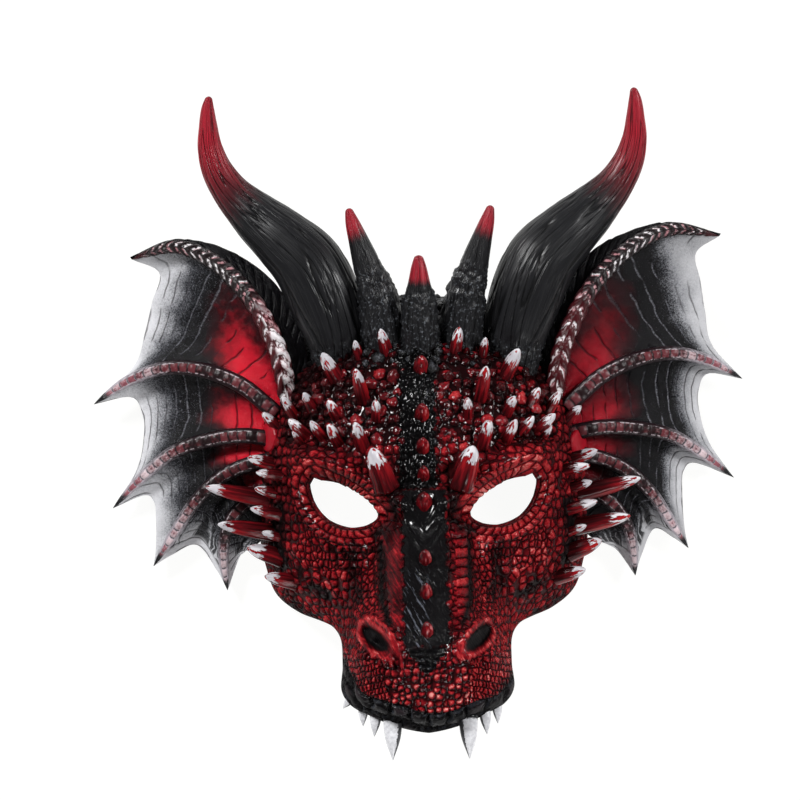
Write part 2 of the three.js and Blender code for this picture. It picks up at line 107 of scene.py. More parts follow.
for name, (spot, aim, power) in LAMPS.items():
    lamp = add(name, bpy.data.lights.new(name, "AREA"))
    lamp.location = spot
    lamp.rotation_euler = (Vector(aim) - Vector(spot)).to_track_quat("-Z", "Y").to_euler()
    lamp.data.size = LAMP_SIZE
    lamp.data.energy = power

world = bpy.data.worlds.new("studio")
bpy.context.scene.world = world
world.use_nodes = True
sky = world.node_tree.nodes["Background"].inputs
sky["Color"].default_value = (1, 1, 1, 1)
sky["Strength"].default_value = SKY
bpy.context.scene.view_settings.view_transform = "Standard"

floor_mesh = bpy.data.meshes.new("floor")
corners = [(x * FLOOR, y * FLOOR, 0) for x, y in ((-1, -1), (1, -1), (1, 1), (-1, 1))]
floor_mesh.from_pydata(corners, [], [(0, 1, 2, 3)])
floor = add("floor", floor_mesh)
print("lamps:", *LAMPS)

# %% [markdown]
# ## Writing node trees
#
# Both the relief and the paint are worked out by node trees. They could be drawn by hand in the
# node editor, but a tree of a hundred nodes is hard to read there. This small class stands for a
# value on its way through a tree, so that sums read like sums: each operator adds a Math node.

# %% A value in a node tree
def by_node(operation, swapped=False):
    """A method that adds one Math node; swapped for a number on the left, as in 1 - wire."""
    def method(self, other):
        return self.math(operation, other, self) if swapped else self.math(operation, self, other)
    return method


class Wire:
    def __init__(self, tree, socket=None):
        self.tree = tree
        self.socket = socket

    def node(self, kind, settings=None, inputs=None, output=0):
        """Add a node with its settings, then its inputs, and return one of its outputs."""
        made = self.tree.nodes.new(kind)
        for name, value in (settings or {}).items():
            setattr(made, name, value)
        for name, value in (inputs or {}).items():
            if isinstance(value, Wire):
                self.tree.links.new(value.socket, made.inputs[name])
            else:
                made.inputs[name].default_value = value
        return Wire(self.tree, made.outputs[output])

    def math(self, operation, *values):
        return self.node("ShaderNodeMath", {"operation": operation}, dict(enumerate(values)))

    __add__, __radd__ = by_node("ADD"), by_node("ADD", True)
    __sub__, __rsub__ = by_node("SUBTRACT"), by_node("SUBTRACT", True)
    __mul__, __rmul__ = by_node("MULTIPLY"), by_node("MULTIPLY", True)
    __truediv__, __rtruediv__ = by_node("DIVIDE"), by_node("DIVIDE", True)
    __gt__, __lt__ = by_node("GREATER_THAN"), by_node("LESS_THAN")
    at_least, at_most = by_node("MAXIMUM"), by_node("MINIMUM")

    def __abs__(self):
        return self.math("ABSOLUTE", self)

    def floor(self):
        return self.math("FLOOR", self)

    def ease(self, low, high):
        """0 below low, 1 above high, smooth between; low may be the greater of the two."""
        inputs = {"Value": self, "From Min": low, "From Max": high}
        return self.node("ShaderNodeMapRange", {"interpolation_type": "SMOOTHSTEP"}, inputs)

    def to_edge(self):
        """How far a number is from the nearest whole one."""
        return self.math("PINGPONG", self, 0.5)

    def pick(self, a, b):
        """a where this is 0, b where this is 1; numbers only."""
        return a + self * (b - a)

    def tint(self, a, b):
        """Colour a where this is 0, colour b where this is 1."""
        a, b = (value if isinstance(value, Wire) else (*value, 1) for value in (a, b))
        return self.node("ShaderNodeMix", {"data_type": "RGBA"}, {0: self, 6: a, 7: b}, 2)

    def ramp(self, stops):
        """The colour that a table of stops gives for this number."""
        made = self.node("ShaderNodeValToRGB", inputs={"Fac": self})
        elements = made.socket.node.color_ramp.elements
        while len(elements) < len(stops):
            elements.new(1)
        for element, (spot, colour) in zip(elements, stops):
            element.position = spot
            element.color = (*colour, 1)
        return made

    def part(self, axis):
        """One number of a vector or a colour."""
        return self.node("ShaderNodeSeparateXYZ", inputs={0: self}, output=axis)

    def arrows(self, operation, other):
        """Vector maths with another vector."""
        return self.node("ShaderNodeVectorMath", {"operation": operation}, {0: self, 1: other})

    def scaled(self, x, y, z):
        return self.arrows("MULTIPLY", (x, y, z))

    def noise(self, size, detail=2.0, roughness=0.5):
        """Cloudy numbers round 0.5, in patches of about this size, at this wire's point."""
        inputs = {"Vector": self, "Scale": 1 / size, "Detail": detail, "Roughness": roughness}
        return self.node("ShaderNodeTexNoise", inputs=inputs)


def vector(x, y, z=0.0):
    start = next(value for value in (x, y, z) if isinstance(value, Wire))
    return start.node("ShaderNodeCombineXYZ", inputs={0: x, 1: y, 2: z})


# %% [markdown]
# What the script knows about each point is kept on the mesh under a name. A tree reads it by that
# name, so the relief and the paint work from the same numbers. Texture coordinates could carry
# them too, but a name says what a number means.

# %% Reading what a point knows
def read(tree, name, kind="FLOAT"):
    """A named number of the surface, in a geometry tree or in a material."""
    start = Wire(tree)
    if tree.type == "GEOMETRY":
        return start.node("GeometryNodeInputNamedAttribute", {"data_type": kind}, {"Name": name})
    output = "Vector" if kind == "FLOAT_VECTOR" else "Fac"
    return start.node("ShaderNodeAttribute", {"attribute_name": name}, output=output)


def read_vector(tree, name):
    return read(tree, name, "FLOAT_VECTOR")


def numbers(tree, name):
    """The three numbers of a named vector."""
    whole = read_vector(tree, name)
    return [whole.part(axis) for axis in range(3)]


def object_spot(tree):
    """The place on an object, in metres."""
    return Wire(tree).node("ShaderNodeTexCoord", output="Object")


# %% Materials and geometry trees
def paint(name, build, **constants):
    """A material; build gets its tree and says what feeds the shader."""
    material = bpy.data.materials.new(name)
    material.use_nodes = True
    tree = material.node_tree
    shader = tree.nodes["Principled BSDF"]
    for socket, value in constants.items():
        shader.inputs[socket.replace("_", " ")].default_value = value
    for socket, value in build(tree).items():
        tree.links.new(value.socket, shader.inputs[socket])
    return material


def look(colour, roughness, height, distance):
    """What nearly every paint feeds; the height only bends the light, over a distance in metres."""
    inputs = {"Height": height, "Distance": distance, "Strength": 1.0}
    normal = height.node("ShaderNodeBump", inputs=inputs, output="Normal")
    return {"Base Color": colour, "Roughness": roughness, "Normal": normal}


def push(geometry, rise):
    """Move every point outwards by its rise in mm."""
    normal = geometry.node("GeometryNodeInputNormal")
    inputs = {0: normal, "Scale": rise * MM}
    move = normal.node("ShaderNodeVectorMath", {"operation": "SCALE"}, inputs)
    return geometry.node("GeometryNodeSetPosition", inputs={"Geometry": geometry, "Offset": move})


def realized(geometry):
    return geometry.node("GeometryNodeRealizeInstances", inputs={"Geometry": geometry})


def shape_with(piece, name, build, materials, **sizes):
    """Run a geometry tree with named sizes on a piece and keep the result as plain mesh.

    The last nodes make real mesh and give the faces of each material number their material.
    """
    tree = bpy.data.node_groups.new(name, "GeometryNodeTree")
    for way in ("INPUT", "OUTPUT"):
        tree.interface.new_socket("Geometry", in_out=way, socket_type="NodeSocketGeometry")
    for size in sizes:
        tree.interface.new_socket(size, in_out="INPUT", socket_type="NodeSocketFloat")
    entry = tree.nodes.new("NodeGroupInput")
    wires = {socket.name: Wire(tree, socket) for socket in entry.outputs if socket.name}
    result = realized(build(wires.pop("Geometry"), **wires))
    number = result.node("GeometryNodeInputMaterialIndex")
    for index, material in enumerate(materials):
        here = number.math("COMPARE", number, index, 0.5)
        inputs = {"Geometry": result, "Selection": here, "Material": material}
        result = result.node("GeometryNodeSetMaterial", inputs=inputs)
    end = tree.nodes.new("NodeGroupOutput")
    tree.links.new(result.socket, end.inputs["Geometry"])
    modifier = piece.modifiers.new(name, "NODES")
    modifier.node_group = tree
    for socket in tree.interface.items_tree:
        if socket.in_out == "INPUT" and socket.name in sizes:
            modifier[socket.identifier] = float(sizes[socket.name])
    freeze(piece)
    for index in reversed(range(len(piece.data.materials))):
        if piece.data.materials[index] not in materials:
            piece.data.materials.pop(index=index)


def freeze(piece):
    """Turn what the modifiers make into plain mesh."""
    graph = bpy.context.evaluated_depsgraph_get()
    made = piece.evaluated_get(graph)
    mesh = bpy.data.meshes.new_from_object(made, preserve_all_data_layers=True, depsgraph=graph)
    piece.modifiers.clear()
    piece.data = mesh


# %% [markdown]
# ## Building and cutting meshes
#
# Each form is a closed mesh, like the foam itself. Spheres and cones could be joined instead, but
# rings of points that a rule lays out follow the CAD source exactly. Where a form roots in the foam
# wall, a copy of the hollow cuts off what would reach through into the wearer's face.

# %% Meshes from points
def triangles(faces):
    """All faces as triangles."""
    return np.vstack([block[:, [0, k, k + 1]] for block in faces for k in range(1, block.shape[1] - 1)])


def mesh_object(name, points, faces):
    """An object from points in metres and blocks of faces."""
    mesh = bpy.data.meshes.new(name)
    mesh.from_pydata(points.tolist(), [], [face for block in faces for face in block.tolist()])
    mesh.shade_smooth()
    return add(name, mesh)


def solid(name, points, faces):
    """A closed mesh from points in mm and blocks of faces, turned outwards."""
    a, b, c = (points[column] for column in triangles(faces).T)
    if np.einsum("ij,ij->i", a, np.cross(b, c)).sum() < 0:
        faces = [block[:, ::-1] for block in faces]
    return mesh_object(name, place(points), faces)


def fetch(values, name):
    """A vector for each point of a mesh."""
    flat = np.zeros(3 * len(values), np.float32)
    values.foreach_get(name, flat)
    return flat.reshape(-1, 3)


def millimetres(piece):
    """A piece's points in mm of the design."""
    return fetch(piece.data.vertices, "co") / MM - ORIGIN


def normals(piece):
    """Which way the surface faces at each point."""
    return fetch(piece.data.vertex_normals, "vector")


def note(piece, name, *values):
    """Keep one number for each point of a piece, or three as a vector."""
    values = np.stack(values, 1) if len(values) > 1 else np.asarray(values[0])
    wide = values.ndim > 1
    layer = piece.data.attributes.new(name, "FLOAT_VECTOR" if wide else "FLOAT", "POINT")
    layer.data.foreach_set("vector" if wide else "value", values.astype(np.float32).ravel())


def pairs(a, b):
    """Each value of a with each of b, as two flat arrays."""
    return (value.ravel() for value in np.meshgrid(a, b, indexing="ij"))


def round_turns(count):
    return np.linspace(0, 2 * np.pi, count + 1)[:-1]


def between(count, wide):
    """Faces between closed rings of points that lie one after the other."""
    ring, turn = pairs(np.arange(count - 1), np.arange(wide))
    a = ring * wide + turn
    b = ring * wide + (turn + 1) % wide
    return np.stack([a, b, b + wide, a + wide], 1)


def from_rings(rings, start, end):
    """Points and faces of a closed form from rings, with a point at either end."""
    count, wide = rings.shape[:2]
    points = np.vstack([rings.reshape(-1, 3), start, end])
    c = np.arange(wide)
    d = (c + 1) % wide
    last = (count - 1) * wide
    ends = [
        np.stack([d, c, np.full(wide, count * wide)], 1),
        np.stack([last + c, last + d, np.full(wide, count * wide + 1)], 1),
    ]
    return points, [between(count, wide), *ends]


# %% Cutting, joining and handing over
def cut(piece, *tools):
    for tool in tools:
        modifier = piece.modifiers.new("cut", "BOOLEAN")
        modifier.solver = "MANIFOLD"
        modifier.operation = "DIFFERENCE"
        modifier.material_mode = "TRANSFER" if tool.data.materials else "INDEX"
        modifier.object = tool
    freeze(piece)


def finish(piece, *materials):
    """Hand a finished piece over: it stands for the moulding and moves with it."""
    if materials:
        piece.data.materials.clear()
        for material in materials:
            piece.data.materials.append(material)
    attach(piece, "root")
    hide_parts("mask")
    piece.data.calc_loop_triangles()
    print(piece.name, len(piece.data.loop_triangles), "triangles")


def join(name, pieces):
    """One piece out of several."""
    bpy.ops.object.select_all(action="DESELECT")
    for piece in pieces:
        piece.select_set(True)
    bpy.context.view_layer.objects.active = pieces[0]
    bpy.ops.object.join()
    pieces[0].name = name
    return pieces[0]


# %% [markdown]
# ## The form of the face
#
# The face is a height over its outline, as in the CAD source: a profile down the middle with the
# snout on it, folds for brows and ridges, and an edge that turns down to the rim. A sculpted mesh
# could look the same, but the painted skin has to lie where the solid does, so the same numbers
# stand here.

# %% Outline and profiles
WALL, LIP_WALL, MUZZLE_WALL = 6, 8, 13
LIP_TURNS = (2.2, 2.7)  # the turns between which the foam grows from cheek to lip
MUZZLE_STARTS = (60, 105)  # how far down, for the muzzle
MIDDLE_Y = -60
SIDE_FALL, SIDE_FALL_AT = 11, 70
# x, y, height of the rim, how square its edge is
OUTLINE = [
    (0, 60, 0, 7), (30, 57, 0, 6), (53, 43, 0, 5), (69, 21, 0, 4), (77, -6, 0, 3.8),
    (78.5, -36, 0, 3.6), (75.5, -65, 0, 3.4), (70.5, -79, 4, 3.5), (60, -87.5, 14, 3.7),
    (50, -91.3, 26, 4), (43.4, -94.5, 34, 4.6), (39.8, -101, 45, 4.8), (39.3, -112, 65, 4.8),
    (39.9, -121.5, 83, 4.8), (35.7, -128.3, 93, 5), (26.8, -133.1, 99, 5.5),
    (14.6, -138.1, 104, 5.5), (0, -141.2, 106, 5.5),
]
SNOUT_PROFILE = [
    (-142, 114), (-133, 124), (-121, 130), (-109, 130), (-97, 125), (-80, 112), (-62, 98),
    (-46, 86), (-30, 77), (-10, 73), (15, 69), (40, 63), (60, 57),
]
FACE_PROFILE = [
    (-142, 50), (-110, 53), (-90, 58), (-70, 65), (-50, 71), (-30, 74), (-10, 73), (15, 69),
    (40, 63), (60, 57),
]
SNOUT_WIDTH = [
    (-142, 60), (-112, 50), (-102, 43), (-90, 34), (-72, 25), (-52, 18), (-34, 14), (-10, 12),
]
# path, half width, height
FOLDS = [
    ([(12, -36), (24, -27), (40, -18), (58, -13.5)], 5.5, 9.5),
    ([(22, -50), (34, -54), (48, -49), (59, -36)], 5.5, 4),
    ([(18, -50), (18, -86)], 4, 3),
    ([(29, -58), (30, -84)], 4, 2.5),
    ([(0, 52), (0, -36)], 9, 4),
    ([(17, -104), (18, -93), (28, -88.5), (34, -96), (31, -104)], 5, 7),
    ([(40, -72), (62, -58)], 12, 4),
    ([(36, -122), (18, -132), (0, -135)], 5, 4.5),
]
EYE_DENT = {"x": 38, "y": -36, "long": 22, "short": 14, "tilt": 0.42}
EYE_DEPTH = 9
NOSTRIL = {"x": 23.8, "y": -97.6, "long": 8.6, "short": 4, "tilt": 0.71}
NOSTRIL_DEPTH = 9

# %% Curves and distances
def ease(low, high, value):
    t = np.clip((value - low) / (high - low), 0, 1)
    return t * t * (3 - 2 * t)


def through(stops, spot, column=1):
    """Value at a spot between stops, on a smooth curve."""
    table = np.array([[stop[0], stop[column]] for stop in stops], float)
    xs, ys = table.T
    before = np.maximum(np.arange(len(xs)) - 1, 0)
    after = np.minimum(np.arange(len(xs)) + 1, len(xs) - 1)
    slopes = (ys[after] - ys[before]) / (xs[after] - xs[before])
    spot = np.clip(spot, xs[0], xs[-1])
    i = np.clip(np.searchsorted(xs, spot) - 1, 0, len(xs) - 2)
    span = xs[i + 1] - xs[i]
    t = (spot - xs[i]) / span
    s = 1 - t
    ends = ys[i] * (1 + 2 * t) * s * s + ys[i + 1] * (3 - 2 * t) * t * t
    return ends + span * t * s * (slopes[i] * s - slopes[i + 1] * t)


def nearest_on_path(x, y, path):
    """Distance to a path of points."""
    least = np.full(np.shape(x), np.inf)
    for (ax, ay), (bx, by) in zip(path, path[1:]):
        length = np.hypot(bx - ax, by - ay)
        t = np.clip(((x - ax) * (bx - ax) + (y - ay) * (by - ay)) / length**2, 0, 1)
        least = np.minimum(least, np.hypot(x - ax - t * (bx - ax), y - ay - t * (by - ay)))
    return least


def hump(x, y, path, width):
    """1 on a path, falling away like a bell."""
    return np.exp(-((nearest_on_path(x, y, path) / width) ** 2))


def from_middle(x, y, shape):
    """How far a place lies from the middle of a tilted oval: 1 on its edge."""
    dx, dy = np.abs(x) - shape["x"], y - shape["y"]
    c, s = np.cos(shape["tilt"]), np.sin(shape["tilt"])
    return np.hypot((dx * c + dy * s) / shape["long"], (dy * c - dx * s) / shape["short"])


# %% The height of the face
AROUND = [
    (np.arctan2(x, y - MIDDLE_Y), np.hypot(x, y - MIDDLE_Y), rim, square)
    for x, y, rim, square in OUTLINE
]


def radius_at(turns):
    """From the middle to the rim, for turns up to a full one."""
    return through(AROUND, np.minimum(turns, 2 * np.pi - turns))


def polar(radius, turn):
    """x and y at a distance and a turn from the middle of the face."""
    return radius * np.sin(turn), MIDDLE_Y + radius * np.cos(turn)


def folds(x, y):
    height = -EYE_DEPTH * np.exp(-(from_middle(x, y, EYE_DENT) ** 4))
    for path, width, rise in FOLDS:
        height = height + rise * hump(np.abs(x), y, path, width)
    return height


def foam(angle, y, thinner):
    """Thickness of the foam at the sides and on top."""
    wall = WALL + (LIP_WALL - WALL) * ease(*LIP_TURNS, angle)
    drop = WALL + (MUZZLE_WALL - WALL) * ease(*MUZZLE_STARTS, -y)
    return wall - thinner, drop - thinner


def face_height(x, y, thinner=None, extra=lambda x, y: 0.0):
    """The skin's height, or that of the hollow behind it when thinner says how much foam stays."""
    angle = np.arctan2(np.abs(x), y - MIDDLE_Y)
    wall, drop = (0.0, 0.0) if thinner is None else foam(angle, y, thinner)
    share = np.hypot(x, y - MIDDLE_Y) / (through(AROUND, angle) - wall)
    edge = np.sqrt(np.maximum(0, 1 - share ** through(AROUND, angle, 3)))
    rim = np.maximum(0, through(AROUND, angle, 2))
    face = through(FACE_PROFILE, y)
    snout = (through(SNOUT_PROFILE, y) - face) / (1 + (np.abs(x) / through(SNOUT_WIDTH, y)) ** 4)
    top = face + snout - SIDE_FALL * (x / SIDE_FALL_AT) ** 2 - drop
    if thinner is None:
        top = top + folds(x, y) + extra(x, y)
    return rim * (1 - edge) + top * edge


print("snout height:", round(float(face_height(np.array(0.0), np.array(-115.0))), 1), "mm")

# %% [markdown]
# The eyes are almond holes right through the foam, with lids that roll inwards. The nostrils are
# pits: no light shows through them. Both are added to the height before the skin is laid out,
# because a dent in the rule keeps its edges smooth, where a cut would leave them sharp.

# %% Eyes and nostrils
SNOUT_TOP, SNOUT_ROOM = 126, 3.5
LID_ROLL = 1.8
FAR_FROM_EYE, EYE_REACH = 30.0, 42
# bends round an eye: each starts where the last one ended
EYE_CORNERS = [
    (22.8, -42.7), (31, -31), (50.8, -24), (51.7, -25.5), (52.6, -27), (52.5, -32), (49, -38),
    (43, -46.5), (32, -46.3), (25, -46.3), (22.8, -42.7),
]
EYE_COUNTS = [16, 4, 16, 16, 16]


def bend(a, b, c, count):
    """Points of a bend from a by way of b to c, without the last."""
    t = np.linspace(0, 1, count, endpoint=False)[:, None]
    a, b, c = (np.array(point, float) for point in (a, b, c))
    return (1 - t) ** 2 * a + 2 * t * (1 - t) * b + t * t * c


EYE = np.vstack([bend(*EYE_CORNERS[2 * k:2 * k + 3], count) for k, count in enumerate(EYE_COUNTS)])
EYE_LOOP = [tuple(point) for point in np.vstack([EYE, EYE[:1]])]


def inside_loop(x, y, loop):
    odd = np.zeros(np.shape(x), bool)
    for (ax, ay), (bx, by) in zip(loop, loop[1:]):
        if ay != by:
            crosses = (y < ay) != (y < by)
            odd ^= crosses & (x < ax + (y - ay) * (bx - ax) / (by - ay))
    return odd


def from_eye(x, y):
    """Distance outwards from the eye's edge, worked out only near the eyes."""
    near = np.hypot(np.abs(x) - EYE_DENT["x"], y - EYE_DENT["y"]) < EYE_REACH
    out = np.full(np.shape(x), FAR_FROM_EYE)
    out[near] = nearest_on_path(np.abs(x[near]), y[near], EYE_LOOP)
    out[near] *= np.where(inside_loop(np.abs(x[near]), y[near], EYE_LOOP), -1, 1)
    return out


# path, half width, rise, side: 1 and -1 for one side alone, 0 for both
FINE_RIDGES = [
    ([(9.5, -44.5), (4.5, -53), (0, -59.5)], 0.9, 1.1, 0),
    ([(0, -27.5), (5.5, -33), (6.5, -38), (0, -48)], 0.9, 1.1, 0),
    ([(9.5, -58), (4, -66), (0, -69.5)], 0.9, 0.7, 0),
    ([(11.3, -50), (11.3, -96)], 0.9, 1.0, 1),
    ([(31.5, -97), (30.5, -90), (25, -87.5), (18.5, -91.5), (13.5, -100), (11.2, -112)], 1.5, 2.4, -1),
    ([(22, -100), (14.6, -107)], 2.7, -6.5, -1),
    ([(34, -97), (31, -89.5), (25, -89), (18.5, -95), (18, -102), (24, -106), (31, -104)], 1.6, 1.7, 1),
    ([(33, -108), (22, -115), (10, -118)], 2.0, 1.4, -1),
]
NOSTRIL_RIDGE = FINE_RIDGES[4][0]


def openings(x, y):
    """How the skin rolls in at the lids, sinks into the nostrils and rises in thin ridges."""
    height = -LID_ROLL * (1 - ease(-0.5, 2.4, from_eye(x, y)))
    height -= NOSTRIL_DEPTH * (1 - ease(0.55, 1.22, from_middle(x, y, NOSTRIL)))
    for path, width, rise, side in FINE_RIDGES:
        height = height + rise * hump(np.abs(x) if side == 0 else x * side, y, path, width)
    return height


def skin_height(x, y):
    """The painted skin's height; its highest folds are rounded off so that they stay in the box."""
    height = face_height(x, y, extra=openings)
    excess = np.maximum(0, height - SNOUT_TOP)
    return height - excess + SNOUT_ROOM * np.tanh(excess / SNOUT_ROOM)


# %% [markdown]
# ## The skin
#
# The skin needs points about every 0.65 mm, or the scales would melt together. Rings round a middle
# would crowd there, so a square grid is bent into the outline: its cells stay much the same size
# everywhere. Each line from the middle to the rim is divided by its length over the relief, not by
# its length seen from above, because the snout's sides are steep.

# %% The skin's grid
GRID = 304
TABLE_TURNS, TABLE_STEPS = 720, 400  # how finely the lengths over the relief are measured
UNDERSIDE = 0.8  # the share of the outline to which the underside's ring is drawn in


def even_turns():
    """Turns that part the outline into equal lengths, as a table from 0 to 1."""
    turns = np.linspace(0, 2 * np.pi, 4 * TABLE_TURNS + 1)
    radius = radius_at(turns)
    spots = radius * np.sin(turns), radius * np.cos(turns)
    lengths = np.pad(np.cumsum(np.hypot(*np.diff(spots))), (1, 0))
    return lengths / lengths[-1], turns


def laid_out(spread, turn):
    """Points of the skin: spread from 0 in the middle to 1 at the rim, by length over the relief."""
    turns = np.linspace(0, 2 * np.pi, TABLE_TURNS + 1)
    steps = np.linspace(0, 1, TABLE_STEPS + 1)
    shares = np.sin(steps * np.pi / 2)
    x, y = polar(radius_at(turns)[:, None] * shares, turns[:, None])
    legs = np.sqrt(np.diff(x) ** 2 + np.diff(y) ** 2 + np.diff(skin_height(x, y)) ** 2)
    lengths = np.pad(np.cumsum(legs, 1), ((0, 0), (1, 0)))
    table = np.stack([np.interp(steps, row / row[-1], shares) for row in lengths])
    column = turn / (2 * np.pi) * TABLE_TURNS
    left = np.minimum(column.astype(int), TABLE_TURNS - 1)
    low = np.minimum((spread * TABLE_STEPS).astype(int), TABLE_STEPS - 1)
    s, t = column - left, spread * TABLE_STEPS - low
    share = (1 - s) * ((1 - t) * table[left, low] + t * table[left, low + 1])
    share = share + s * ((1 - t) * table[left + 1, low] + t * table[left + 1, low + 1])
    x, y = polar(share * radius_at(turn), turn)
    return np.stack([x, y, skin_height(x, y)], 1)


def skin_solid():
    """Points and faces of the skin, closed below by a ring drawn in to a point."""
    side = np.linspace(-1, 1, GRID + 1)
    a, b = pairs(side, side)
    wide = np.abs(a) > np.abs(b)
    spread = np.maximum(np.abs(a), np.abs(b))
    slope = np.where(wide, b / np.where(a == 0, 1, a), a / np.where(b == 0, 1, b))
    turn = np.where(wide, np.pi / 4 * slope, np.pi / 2 - np.pi / 4 * slope)
    turn = turn + np.where(np.where(wide, a, b) < 0, np.pi, 0)
    turn = np.interp((turn / (2 * np.pi)) % 1, *even_turns())
    top = laid_out(spread, turn)
    n = np.arange(GRID)
    row, column = pairs(n, n)
    corner = row * (GRID + 1) + column
    quads = np.stack([corner, corner + 1, corner + GRID + 2, corner + GRID + 1], 1)
    end = GRID * (GRID + 1)
    loop = np.concatenate([n, GRID + n * (GRID + 1), end + GRID - n, end - n * (GRID + 1)])
    under = top[loop] * [UNDERSIDE, UNDERSIDE, 1] + [0, (1 - UNDERSIDE) * MIDDLE_Y, 0]
    first = len(top)
    c = np.arange(len(loop))
    d = (c + 1) % len(loop)
    strip = np.stack([loop, first + c, first + d, np.roll(loop, -1)], 1)
    fan = np.stack([first + c, np.full(len(c), first + len(c)), first + d], 1)
    return np.vstack([top, under, [0, MIDDLE_Y, 0]]), [quads, strip, fan]


skin = solid("mask_skin", *skin_solid())
print("skin:", len(skin.data.vertices), "points")

# %% [markdown]
# The hollow for the wearer's face is a coarser form of the same rule, set in by the thickness of
# the foam. The eyes are cut by two upright prisms, and the rivets get round seats. Booleans do this
# well, because the cuts have to be sharp and each tool can leave its own material behind.

# %% Hollow, eyes and rivet seats
HOLLOW_RINGS, HOLLOW_SIDES, HOLLOW_BELOW = 26, 96, 12
PRISM_LOW, PRISM_HIGH = -20, 160
SEAT_SIDES = 72
ROOT_STOP = 2.5  # mm of foam that stay between a cut root and the hollow
RIVET = {"radius": 7.3, "tilt": 1.02, "under": 0.3, "height": 14}
RIVETS = [(72.6, -11), (-71.4, -4.8)]


def hollow(name, thinner):
    turns = round_turns(HOLLOW_SIDES)
    shares = np.sin((1 - np.arange(HOLLOW_RINGS) / HOLLOW_RINGS) * np.pi / 2) ** 0.75
    angle = np.minimum(turns, 2 * np.pi - turns)
    radii = through(AROUND, angle) - foam(angle, np.zeros_like(angle), thinner)[0]
    x, y = polar(shares[:, None] * radii, turns)
    z = face_height(x, y, thinner)
    z[0] = np.maximum(0, through(AROUND, angle, 2))
    rings = np.stack([x, y, z], 2)
    below = rings[:1] - [0, 0, HOLLOW_BELOW]
    middle = np.array([[0.0]]), np.array([[float(MIDDLE_Y)]])
    summit = [0, MIDDLE_Y, face_height(*middle, thinner).item()]
    return solid(name, *from_rings(np.vstack([below, rings]), [0, MIDDLE_Y, -HOLLOW_BELOW], summit))


def eye_prism(name, side):
    """An upright prism over an eye."""
    loop = EYE * [side, 1]
    levels = [np.column_stack([loop, np.full(len(loop), z)]) for z in (PRISM_LOW, PRISM_HIGH)]
    middle = loop.mean(0)
    return solid(name, *from_rings(np.array(levels), [*middle, PRISM_LOW], [*middle, PRISM_HIGH]))


def rivet_seat(name, x, y):
    turns = round_turns(SEAT_SIDES)
    c, s = np.cos(RIVET["tilt"]), np.sin(RIVET["tilt"])
    base = np.array([x, y, face_height(np.array(x), np.array(y)).item()])

    def at(radius, up):
        across = radius * np.cos(turns)
        tipped = [np.sign(x) * (across * c + up * s), radius * np.sin(turns), up * c - across * s]
        return np.stack(tipped, 1) + base

    low, high = -RIVET["under"], RIVET["height"]
    rings = np.array([at(RIVET["radius"], up) for up in (low, high)])
    return solid(name, *from_rings(rings, at(0, low)[0], at(0, high)[0]))


raw_foam = bpy.data.materials.new("foam_inside")
skin.data.materials.append(bpy.data.materials.new("foam_outside"))
tools = [
    hollow("face_hollow", 0), eye_prism("eye_left", 1), eye_prism("eye_right", -1),
    rivet_seat("seat_left", *RIVETS[0]), rivet_seat("seat_right", *RIVETS[1]),
]
for tool in tools:
    tool.data.materials.append(raw_foam)
cut(skin, *tools)
for tool in tools:
    bpy.data.objects.remove(tool)
root_cutter = hollow("root_cutter", ROOT_STOP)
print("skin after the cuts:", len(skin.data.vertices), "points")

# %% [markdown]
# ## Where each kind of scale grows
#
# A sculptor presses different scales into each part of the face: rows of bricks round the eyes,
# pebbles on the cheeks, beads on the muzzle's front, fine blades beside the muzzle, big blocks on
# the lips, rough rock on the brow and smooth feathered plates down the snout. A fleshy rim without
# scales runs round each nostril. The zones could be painted by hand as masks, but sums of distances
# stay sharp at any size. Every point of the skin gets to know which kind it belongs to.

# %% Zones of the skin
# the numbers of this cell and the next are places, widths and softness in mm of the design
EYE_GIRTH = 17  # mm round an eye for each radian
NOSTRIL_SIZE = 6
NEAR_SKIN = 0.05
LIP_LINE = [
    (-42, -104), (-36, -112.5), (-31, -121), (-22, -125), (-12, -127.8), (0, -131.8), (12, -130.5),
    (22, -126.5), (32, -124), (42, -114.5),
]
spots = millimetres(skin)
sx, sy, sz = spots.T.astype(float)
X = np.abs(sx)
on_skin = np.abs(sz - skin_height(sx, sy)) < NEAR_SKIN


def wavy(spot):
    """A border that no ruler drew."""
    return 0.7 * np.sin(spot * 0.63) + 0.5 * np.sin(spot * 1.41 + 1) + 0.35 * np.sin(spot * 2.3 + 4)


def over(value, soft=0.5):
    """1 where a value is above nought, with a soft border."""
    return ease(-soft, soft, value)


eye_out = from_eye(sx, sy)
eye_round = EYE_GIRTH * np.arctan2(sy - EYE_DENT["y"], X - EYE_DENT["x"])
nostril_out = (from_middle(sx, sy, NOSTRIL) - 1) * NOSTRIL_SIZE
nostril_out += 8 * ease(98, 88, face_height(sx, sy))  # they don't run down the snout's sides
eye_rows = over(9.5 - eye_out) * (1 - ease(0, 1, 24.5 - X) * over(-44 - sy, 1))
lip_drop = through(LIP_LINE, sx) - sy
lips = over(lip_drop, 0.4)
blades = over(X - 17 - 0.25 * (sy + 128)) * over(-106.5 - sy + 0.35 * (X - 30))
front = ease(-107, -110, sy + 0.5 * wavy(sx)) * ease(25, 23, X) * (1 - blades)
crest_side = 9 + 26 * ease(36, 50, sy) + 12 * ease(52, 58, sy)
off_crest = np.abs(sx + 2.5 * (1 - ease(30, 45, sy)))
rock = np.maximum.reduce([
    over(crest_side + wavy(sy) - off_crest, 1) * ease(-31, -28, sy),
    over(9 + 0.7 * (sy + 102) + wavy(sy + X) - X, 1) * ease(-100, -102, sy),
    ease(38, 44, sy + 0.25 * X),
])
plates = over(10.3 + 0.9 * wavy(sy) - X) * ease(-102, -100, sy + wavy(sx)) * ease(-29, -31, sy)
